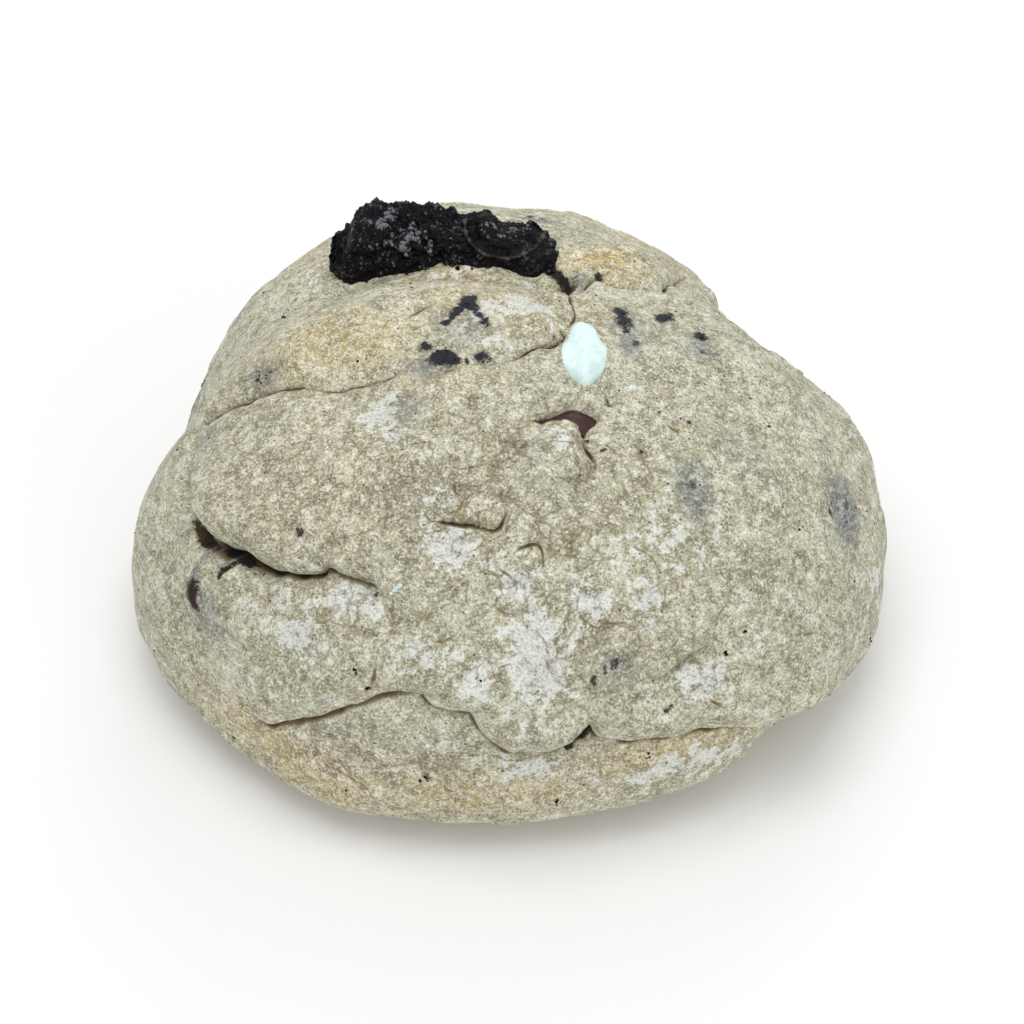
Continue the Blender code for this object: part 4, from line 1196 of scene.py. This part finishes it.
@dataclass
class Dough:
    """The cookie's dough with its laps, cracks and stains."""

    form: DoughForm
    grid: int = 256
    drawn_in: float = 0.3
    budget: int = 194_000
    kept: float = 0.12          # where the creases' brown and painted shade are stronger than this, the mesh stays as fine as it was built
    foot: Place = (9.0, 2.0)    # heights between which the baked foot's colour comes in, mm
    skin: tuple = ((9.0, 1.0, 5), (4.0, 0.75, 9))   # size, height in mm, seed
    piece: bpy.types.Object | None = None

    def build(self) -> None:
        """Shapes the dough on a fine ball, paints its stains and thins the mesh to its budget."""
        d, squares = ball_grid(self.grid)
        # The squares are drawn together toward the front and above, where the detail is
        d = unit(d + self.drawn_in * BACK)
        surface = Surface.over(self.form, d)
        rest = surface.rest
        rough = sum(self.form.bell(rest, self.form.place(r.place, r.drawn), r.across, r.along, r.turn)
                    * r.rise for r in ROUGH)
        rough = np.clip(rough, 0.0, 1.0)
        relief = self.relief(surface, rough)
        for fold in FOLDS:
            surface.press(fold)
        for chip in CHIPS:
            chip.seat(surface)
        for strip in STRIPS:
            surface.lay(strip)
        for dimple in DIMPLES:
            surface.swell(dimple)
        points = surface.points()
        stains = {stain: np.zeros(len(d)) for stain in Stain}
        for patch in PATCHES:
            place = self.form.place(patch.place, patch.drawn)
            wide = STAIN_REACH.get(patch.stain, 1.0)
            bell = self.form.bell(surface.ragged, place, wide * patch.across, wide * patch.along,
                                  patch.turn)
            stains[patch.stain] = np.maximum(stains[patch.stain], patch.amount * bell)
        foot = smooth(*self.foot, points[:, 2])
        stains[Stain.TOAST] += 0.40 * foot
        # A little painted shade darkens the foot
        stains[Stain.DULL] += 0.12 * foot
        # The underside rests flat, with small pits where steam lifted it
        under = 1 - smooth(0.0, 0.4, points[:, 2])
        pits = 0.35 * np.clip(layered(rest, 2.6, 2, Seed.PITS), 0, 1)
        points[:, 2] = np.where(points[:, 2] < 0, pits * smooth(0.0, -0.8, points[:, 2]),
                                points[:, 2])
        self.piece = make_piece("dough", points + ORIGIN, squares)
        mesh = self.piece.data
        for stain, amount in stains.items():
            paint(mesh, stain.value, amount)
        paint(mesh, "crevice_brown_and_shade", np.maximum(surface.crevice_brown_and_shade, stains[Stain.CLEFT]))
        # The small lumps' height, which the material turns into painted shade in the hollows and
        # painted light on the tops
        paint(mesh, "relief", 0.5 + 0.5 * relief)
        paint(mesh, "rough", rough)
        paint(mesh, "base", 0.75 * under + 0.30 * (1 - smooth(0.5, 4.0, points[:, 2])))
        self.thin(np.nonzero(surface.crevice_brown_and_shade < self.kept)[0])
        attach(self.piece, BODY)
        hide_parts("cookie_dough")

    def relief(self, surface: Surface, rough: Points) -> Points:
        """Raises the skin's lumps and cracks plates apart, and returns the small lumps' height.

        Args:
            surface: the dough to roughen.
            rough: 0 where the skin is smooth, 1 where it is wrinkled.

        Returns:
            The relief finer than 4 mm, from about -1 to 1.
        """
        rest = surface.rest
        surface.outward += sum(deep * (bumps(rest, size, seed) - 0.5)
                               for size, deep, seed in self.skin)
        small = layered(surface.ragged, 2.3, 3, Seed.SMALL_RELIEF, 0.6)
        tiny = layered(rest, 0.75, 2, Seed.TINY_RELIEF, 0.6)
        surface.outward += (0.10 + 0.42 * rough) * small + (0.05 + 0.05 * rough) * tiny
        _, edge, _ = granules(surface.ragged, 5.6, Seed.PLATES)
        broken = smooth(0.45, 0.62, bumps(rest, 4.5, Seed.BROKEN))
        crack = np.exp(-(edge / 0.045) ** 2) * rough * broken
        wrinkle = layered(surface.ragged, 5.0, 2, Seed.WRINKLE)
        crack += 0.8 * np.exp(-(wrinkle / 0.05) ** 2) * rough * (1 - broken)
        surface.outward -= 0.30 * crack
        # The plate cracks also get the creases' brown and painted shade
        surface.crevice_brown_and_shade = np.maximum(surface.crevice_brown_and_shade, 0.42 * crack)
        return np.clip(small * (0.6 + 0.8 * rough) + 0.35 * tiny, -1, 1)

    def thin(self, plain: Points) -> None:
        """Collapses flat stretches of the mesh, away from the seams, until it fits its budget."""
        group = self.piece.vertex_groups.new(name="plain")
        group.add(plain.tolist(), 1.0, "REPLACE")
        cut = self.piece.modifiers.new("thin", "DECIMATE")
        cut.vertex_group = group.name
        cut.ratio = self.budget / (2.0 * len(self.piece.data.polygons))
        cut.use_collapse_triangulate = True
        graph = bpy.context.evaluated_depsgraph_get()
        done = bpy.data.meshes.new_from_object(self.piece.evaluated_get(graph))
        old = self.piece.data
        self.piece.modifiers.clear()
        self.piece.data = done
        bpy.data.meshes.remove(old)
        self.piece.vertex_groups.clear()
        done.name = "dough"
        done.shade_smooth()


@dataclass
class Wafer:
    """The broken wafer that stands in the trough behind the brow lap."""

    centre: tuple[float, float, float] = (-8.0, 18.6, 41.6)
    half: tuple[float, float, float] = (14.9, 5.4, 5.0)
    power: float = 3.6
    yaw: float = math.radians(-2.0)
    drop: float = 0.075
    # Steps of the top (middle, half width, height) and hollows of the break (size, depth), mm
    knobs: tuple = ((-14.5, 2.3, -7.0), (-8.0, 4.0, 0.8), (-1.0, 2.0, 0.4), (5.1, 1.5, 1.2))
    bites: tuple = ((7.0, 1.6), (3.2, 0.9))
    crumbs: tuple = ((2.1, 1.05, 33), (1.05, 0.95, 34), (0.5, 0.42, 36))   # size, height, seed
    buried: float = 0.2
    grid: int = 124
    ring_at: Place = (-0.45, 36.6)      # the ring's middle as seen, mm
    ring: Place = (5.1, 4.1)            # its half widths
    ring_width: float = 0.34
    ring_height: float = 0.75

    def hull(self, d: Points) -> tuple[Points, Points]:
        """The boxy slab with its knobbly sloping top, and its outward directions."""
        half = np.array(self.half)
        reach = ((np.abs(d / half) ** self.power).sum(1)) ** (-1.0 / self.power)
        p = d * reach[:, None]
        out = unit(np.sign(p) * np.abs(p / half) ** (self.power - 1) / half)
        upper = np.clip(p[:, 2] / half[2], 0, 1)
        top = -self.drop * p[:, 0]
        for middle, spread, height in self.knobs:
            top += height * np.exp(-((p[:, 0] - middle) / spread) ** 2)
        p[:, 2] += top * upper
        c, s = math.cos(self.yaw), math.sin(self.yaw)
        turn = np.array([[c, s, 0.0], [-s, c, 0.0], [0.0, 0.0, 1.0]])
        return p @ turn + np.array(self.centre), out @ turn

    def build(self, finish: bpy.types.Material) -> bpy.types.Object:
        """The slab bitten by crumbly breaks, with packed crumbs and a plain ring ridge."""
        d, squares = ball_grid(self.grid)
        p, out = self.hull(d)
        shown = self.buried + (1 - self.buried) * np.clip(0.5 + d[:, 2] * 1.5, 0, 1)
        for k, (size, depth) in enumerate(self.bites):
            p = p - out * (depth * shown * bumps(p, size, Seed.BITES + k))[:, None]
        seen = seen_at(p)
        ring = np.hypot((seen[:, 0] - self.ring_at[0]) / self.ring[0],
                        (seen[:, 1] - self.ring_at[1]) / self.ring[1])
        front = smooth(-0.1, 0.3, out @ BACK)
        moulded = front * (1 - smooth(1.05, 1.3, ring))
        knobs, tops = np.zeros(len(p)), np.zeros(len(p))
        for size, height, seed in self.crumbs:
            first, _, own = granules(p, size, seed)
            dome = 1 - 1.15 * first ** 2
            knobs += height * (dome - 0.6) * (0.5 + own)
            tops += smooth(0.5, 0.95, dome) * own / len(self.crumbs)
        p = p + out * (knobs * shown * (1 - 0.50 * moulded))[:, None]
        across = (ring - 1) * np.mean(self.ring)
        ridge = np.exp(-(across / self.ring_width) ** 2)
        ridge *= 1 - smooth(0.5, 2.5, seen[:, 1] - self.ring_at[1])
        groove = np.exp(-((across + 1.1) / 0.6) ** 2)
        pad = np.exp(-((ring / 0.55) ** 4))
        p = p + BACK * (front * (self.ring_height * ridge - 0.75 * groove + 0.5 * pad))[:, None]
        # Painted highlights: grey glints on the crumbs' tops and the moulded pad, stronger over the
        # left mass, with less grey in the ring's groove as painted shade
        pale_place = np.exp(-((seen[:, 0] + 14.6) / 4.0) ** 2 - ((seen[:, 1] - 35.2) / 3.2) ** 2)
        glint = 0.40 + 0.70 * pale_place + 1.2 * pad * front
        piece = make_piece("broken_wafer", p + ORIGIN, squares)
        dust_and_glint = glint * 1.25 * smooth(0.12, 0.50, tops) + 0.18 * pale_place - 0.3 * groove * front
        paint(piece.data, "grey", dust_and_glint)
        paint(piece.data, "ring", ridge * front * (0.45 + 0.8 * tops))
        piece.data.materials.append(finish)
        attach(piece, BODY)
        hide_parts("wafer_piece")
        return piece


@dataclass
class Scatter:
    """Many small lumps baked onto one surface, kept as one piece."""

    name: str
    slot: str

    def build(self, middles: Points, outs: Points, sizes: Points, finish: bpy.types.Material,
              seed: int) -> bpy.types.Object:
        """Sets an uneven pebble on each spot, half sunk and turned at random.

        Args:
            middles: the spots, in mm.
            outs: the skin's outward direction at each.
            sizes: the pebbles' half widths, in mm.
            finish: their material.
            seed: which random shapes.

        Returns:
            The joined piece.
        """
        shape, faces = self.pebble()
        n = len(middles)
        rng = np.random.default_rng(seed)
        turn = rng.normal(size=(n, 3, 3))
        turn, _ = np.linalg.qr(turn)
        stretch = rng.uniform(0.65, 1.25, (n, 1, 3))
        uneven = 1 + rng.uniform(-0.22, 0.22, (n, len(shape), 1))
        body = (shape[None] * uneven * stretch) @ turn * sizes[:, None, None]
        points = body + (middles - outs * sizes[:, None] * 0.25)[:, None]
        shift = (np.arange(n) * len(shape))[:, None, None]
        piece = make_piece(self.name, points.reshape(-1, 3), (faces[None] + shift).reshape(-1, 3))
        piece.data.materials.append(finish)
        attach(piece, BODY)
        return piece

    def pebble(self) -> tuple[Points, Points]:
        """Twelve corners and twenty faces of a regular pebble of half width one."""
        g = (1 + math.sqrt(5)) / 2
        corners = np.array([(-1, g, 0), (1, g, 0), (-1, -g, 0), (1, -g, 0), (0, -1, g), (0, 1, g),
                            (0, -1, -g), (0, 1, -g), (g, 0, -1), (g, 0, 1), (-g, 0, -1), (-g, 0, 1)])
        faces = np.array([(0, 11, 5), (0, 5, 1), (0, 1, 7), (0, 7, 10), (0, 10, 11), (1, 5, 9),
                          (5, 11, 4), (11, 10, 2), (10, 7, 6), (7, 1, 8), (3, 9, 4), (3, 4, 2),
                          (3, 2, 6), (3, 6, 8), (3, 8, 9), (4, 9, 5), (2, 4, 11), (6, 2, 10),
                          (8, 6, 7), (9, 8, 1)])
        return unit(corners.astype(float)), faces


class Skin:
    """The finished dough mesh, looked up by direction, for what is baked onto it."""

    def __init__(self, form: DoughForm, piece: bpy.types.Object) -> None:
        """Reads the mesh's vertices, normals and dark places."""
        mesh = piece.data
        self.form = form
        self.tree = BVHTree.FromObject(piece, bpy.context.evaluated_depsgraph_get())
        self.points = mesh_points(mesh)
        flat = np.empty(len(mesh.vertices) * 3, np.float32)
        mesh.vertex_normals.foreach_get("vector", flat)
        self.normals = flat.reshape(-1, 3).astype(float)
        self.d = unit(self.points - ORIGIN - form.centre)
        self.smudge = np.empty(len(mesh.vertices), np.float32)
        mesh.attributes[Stain.SMUDGE.value].data.foreach_get("value", self.smudge)
        self.crevice_brown_and_shade = np.empty(len(mesh.vertices), np.float32)
        mesh.attributes["crevice_brown_and_shade"].data.foreach_get("value", self.crevice_brown_and_shade)

    def touch(self, place: Place, drawn: bool = True) -> tuple[Points, Points]:
        """Where a ray from the eye, or toward the middle, first meets the dough.

        Args:
            place: (right, up) on the view plane, or (azimuth, height) in degrees.
            drawn: whether it is on the view plane.

        Returns:
            The point in mm and the outward normal there.
        """
        if drawn:
            start = VIEW_AIM + BACK * VIEW_DISTANCE
            ray = unit(VIEW_AIM + RIGHT * place[0] + UP * place[1] - start)
        else:
            start = self.form.centre + around(*place) * VIEW_DISTANCE
            ray = -around(*place)
        point, normal, _, _ = self.tree.ray_cast(((start + ORIGIN) * MM).tolist(), ray.tolist())
        return np.array(point) / MM, np.array(normal)

    def strewn(self, count: int, low: float, seed: int) -> Points:
        """Vertices picked evenly over the skin above a height, away from the chips."""
        rng = np.random.default_rng(seed)
        aim = unit(rng.normal(size=(3 * count, 3)))
        picked = []
        for part in np.array_split(aim, max(1, len(aim) // 400)):
            picked.append(np.argmax(part @ self.d.T, axis=1))
        picked = np.unique(np.concatenate(picked))
        rng.shuffle(picked)
        free = self.points[picked, 2] > low
        for chip in CHIPS:
            middle, _ = chip.axes(self.form)
            away = np.linalg.norm(self.points[picked] - ORIGIN - middle, axis=1)
            free &= away > 1.15 * max(chip.half)
        return picked[free][:count]


@dataclass(frozen=True)
class Blob:
    """A cluster of wafer crumbs in the skin."""

    place: Place
    spread: float
    count: int
    size: float = 0.27
    drawn: bool = True


BLOBS = (
    *rows(Blob, table=(
        (-8.3, 19.9, 0.8, 9, 0.18), (-5.4, 26.6, 0.5, 5, 0.16), (14.6, 24.8, 0.9, 9, 0.18),
        (20.0, 24.9, 0.6, 5, 0.17), (24.8, 22.5, 0.5, 4, 0.17), (-13.4, 31.0, 1.1, 7, 0.34),
        (-4.4, 31.7, 1.3, 8, 0.36), (-18.6, 30.0, 0.8, 5, 0.3), (5.2, 31.0, 0.4, 6, 0.42),
        (-31.9, 17.0, 1.3, 8, 0.17), (43.2, 0.0, 1.2, 6, 0.17), (23.5, 2.4, 1.8, 6, 0.15),
        (-28.8, 24.9, 0.2, 3, 0.28), (-19.7, -20.3, 0.25, 3, 0.28), (-10.8, -33.7, 0.4, 4, 0.26),
        (-35.2, -29.1, 0.3, 3, 0.24), (6.3, -37.2, 0.3, 4, 0.30), (17.9, -31.2, 0.3, 3, 0.27),
        (30.2, -15.4, 0.2, 3, 0.26), (28.1, -18.2, 0.3, 3, 0.32), (37.4, -2.3, 0.2, 2, 0.26),
        (-17.9, -22.4, 0.3, 3, 0.27), (46.3, -16.4, 0.2, 2, 0.28),
    )),
    *rows(Blob, drawn=False, table=(
        (170, 13, 0.6, 6, 0.2), (-158, 19, 0.6, 5, 0.2), (120, 13, 0.5, 5, 0.2),
        (-114, 8, 0.5, 5, 0.2), (150, 4, 0.3, 4), (-140, -6, 0.3, 4), (-175, -5, 0.3, 4),
        (100, 20, 0.3, 4),
    )),
)

# Flecks of milk chocolate, with half widths
FLECKS = (
    ((-26.6, -2.6), 0.5), ((-27.0, -2.2), 0.3), ((12.1, 7.9), 0.28), ((17.1, 7.8), 0.26),
    ((11.0, -21.3), 0.42), ((11.1, -22.0), 0.35), ((20.3, -25.5), 0.4), ((20.9, -24.8), 0.26),
    ((23.2, 11.5), 0.3), ((22.1, 12.0), 0.24), ((19.4, 12.8), 0.22), ((31.0, 14.6), 0.26),
    ((-10.4, -34.2), 0.32), ((33.4, 11.0), 0.26),
)

WHITE_FLECKS = (((15.7, 15.9), 0.45), ((16.2, 16.0), 0.42), ((-15.0, -10.4), 0.26),
                ((-14.7, -10.1), 0.28), ((-14.4, -9.9), 0.28), ((-14.1, -9.7), 0.28),
                ((-13.8, -9.4), 0.26), ((38.8, 3.2), 0.22))


@dataclass
class Cookie:
    """The whole cookie: dough, wafer, chips and what is baked onto the skin."""

    form: DoughForm
    dough: Dough
    wafer: Wafer
    grains: int = 3000
    grain_half: Place = (0.08, 0.17)        # half widths from and to, mm
    strays: int = 110
    stray_half: Place = (0.09, 0.20)

    def build(self) -> None:
        """Builds every piece in the frame."""
        cocoa = WaferFinish().build()
        milk = ChocolateFinish("milk_chocolate_chip", "#371c15", "#46271e", 0.34, 0.05).build()
        white = ChocolateFinish("white_chocolate_chip", "#dff2f0", "#d0e6e2", 0.42, 0.2).build()
        self.dough.build()
        skin = Skin(self.form, self.dough.piece)
        marks = [(skin.touch(spot.place, spot.drawn)[0], spot) for spot in SPOTS]
        self.dough.piece.data.materials.append(DoughFinish().build(marks))
        LOG.info("dough has %d faces", len(self.dough.piece.data.polygons))
        self.wafer.build(cocoa)
        for k, chip in enumerate(CHIPS):
            chip.build(self.form, milk if chip.milk else white, k)
        self.add_grains(skin, marks)
        self.add_crumbs(skin, cocoa)
        self.add_flecks(skin, "chocolate_flecks", "milk_chocolate", FLECKS, milk)
        self.add_flecks(skin, "white_flecks", "white_chocolate", WHITE_FLECKS, white)

    def add_grains(self, skin: Skin, marks: list[tuple[Points, Spot]]) -> None:
        """Strews sugar grains over the skin, but not on its dark places."""
        picked = skin.strewn(self.grains, 1.0, Seed.GRAIN_PLACES)
        picked = picked[(skin.smudge[picked] < 0.2) & (skin.crevice_brown_and_shade[picked] < 0.25)]
        for middle, spot in marks:
            away = np.linalg.norm(skin.points[picked] - middle, axis=1)
            picked = picked[away > 1.8 * spot.size]
        rng = np.random.default_rng(Seed.GRAIN_SIZES)
        sizes = rng.uniform(*self.grain_half, len(picked))
        Scatter("dough_grains", "baked_dough").build(
            skin.points[picked], skin.normals[picked], sizes, GrainFinish().build(),
            Seed.GRAIN_SHAPES)

    def add_crumbs(self, skin: Skin, finish: bpy.types.Material) -> None:
        """Clusters of wafer crumbs where the photo shows them, and a few strays all round."""
        rng = np.random.default_rng(Seed.CRUMB_SIZES)
        strays = skin.strewn(self.strays, 1.5, Seed.STRAY_PLACES)
        middles, outs = list(skin.points[strays]), list(skin.normals[strays])
        sizes = list(rng.uniform(*self.stray_half, len(strays)))
        for blob in BLOBS:
            step = blob.spread * (1.0 if blob.drawn else DEGREES_PER_MM)
            for shift in rng.normal(0, 0.7 * step, (blob.count, 2)):
                middle, out = skin.touch(tuple(np.array(blob.place) + shift), blob.drawn)
                middles.append(middle)
                outs.append(out)
                sizes.append(blob.size * rng.uniform(0.6, 1.2))
        Scatter("wafer_crumbs", "chocolate_wafer").build(
            np.array(middles), np.array(outs), np.array(sizes), finish, Seed.CRUMB_SHAPES)

    def add_flecks(self, skin: Skin, name: str, slot: str, flecks: tuple,
                   finish: bpy.types.Material) -> None:
        """Small bits of chocolate at their spots."""
        touched = [skin.touch(place) for place, _ in flecks]
        middles, outs = (np.array(column) for column in zip(*touched))
        sizes = np.array([size for _, size in flecks])
        Scatter(name, slot).build(middles, outs, sizes, finish, Seed.FLECK_SHAPES)


@dataclass(frozen=True)
class Light:
    """A soft square lamp."""

    name: str
    place: tuple[float, float, float]   # from the cookie, mm
    size: float                         # mm
    watts: float
    colour: str = "#ffffff"

    def build(self) -> None:
        """Hangs the lamp and turns it to the cookie."""
        lamp = bpy.data.lights.new(self.name, "AREA")
        lamp.size = self.size * MM
        lamp.energy = self.watts
        lamp.color = linear(self.colour)[:3]
        holder = bpy.data.objects.new(self.name, lamp)
        place = Vector(self.place) * MM
        aim = Vector((0, 0, 20 * MM))
        holder.location = place
        holder.rotation_euler = (aim - place).to_track_quat("-Z", "Y").to_euler()
        bpy.context.scene.collection.objects.link(holder)


@dataclass(frozen=True)
class Studio:
    """A pale floor, an even sky, soft lamps and the camera at the photo's angle."""

    floor: str = "#f8f8f7"
    floor_half: float = 0.9     # m
    sky: str = "#fbfcff"
    sky_strength: float = 0.70
    sensor: float = 36.0        # the camera's width, mm
    lights: tuple[Light, ...] = (
        Light("key", (-30, -60, 470), 280, 0.82),
        Light("fill", (220, -400, 200), 300, 0.28),
        Light("rim", (60, 320, 260), 240, 0.24),
    )

    def build(self) -> None:
        """Sets everything round the cookie."""
        scene = bpy.context.scene
        span = self.floor_half
        mesh = bpy.data.meshes.new("floor")
        mesh.from_pydata([(-span, -span, 0), (span, -span, 0), (span, span, 0), (-span, span, 0)],
                         [], [(0, 1, 2, 3)])
        plane = bpy.data.objects.new("floor", mesh)
        scene.collection.objects.link(plane)
        finish = Finish("pale_floor").dressed({"Base Color": linear(self.floor), "Roughness": 0.9})
        mesh.materials.append(finish)
        for light in self.lights:
            light.build()
        world = bpy.data.worlds.new("sky")
        world.use_nodes = True
        feed(world.node_tree.nodes["Background"],
             {"Color": linear(self.sky), "Strength": self.sky_strength})
        scene.world = world
        scene.view_settings.view_transform = "Standard"
        self.add_camera()

    def add_camera(self) -> None:
        """The camera looks along the view plane's axis, from in front and above."""
        camera = bpy.data.cameras.new("camera")
        camera.sensor_width = self.sensor
        camera.lens = self.sensor * VIEW_DISTANCE / VIEW_WIDTH
        camera.clip_start = 0.01
        holder = bpy.data.objects.new("camera", camera)
        eye = VIEW_AIM + BACK * VIEW_DISTANCE + RIGHT * VIEW_SIDESTEP + ORIGIN
        holder.location = Vector((eye * MM).tolist())
        holder.rotation_euler = (math.pi / 2 - VIEW_TILT, 0.0, 0.0)
        bpy.context.scene.collection.objects.link(holder)
        bpy.context.scene.camera = holder


def main() -> None:
    """Builds the cookie in its studio."""
    logging.basicConfig(level=logging.INFO, format="%(name)s: %(message)s")
    form = DoughForm(LOBES)
    Cookie(form, Dough(form), Wafer()).build()
    Studio().build()


if __name__ == "__main__":
    main()
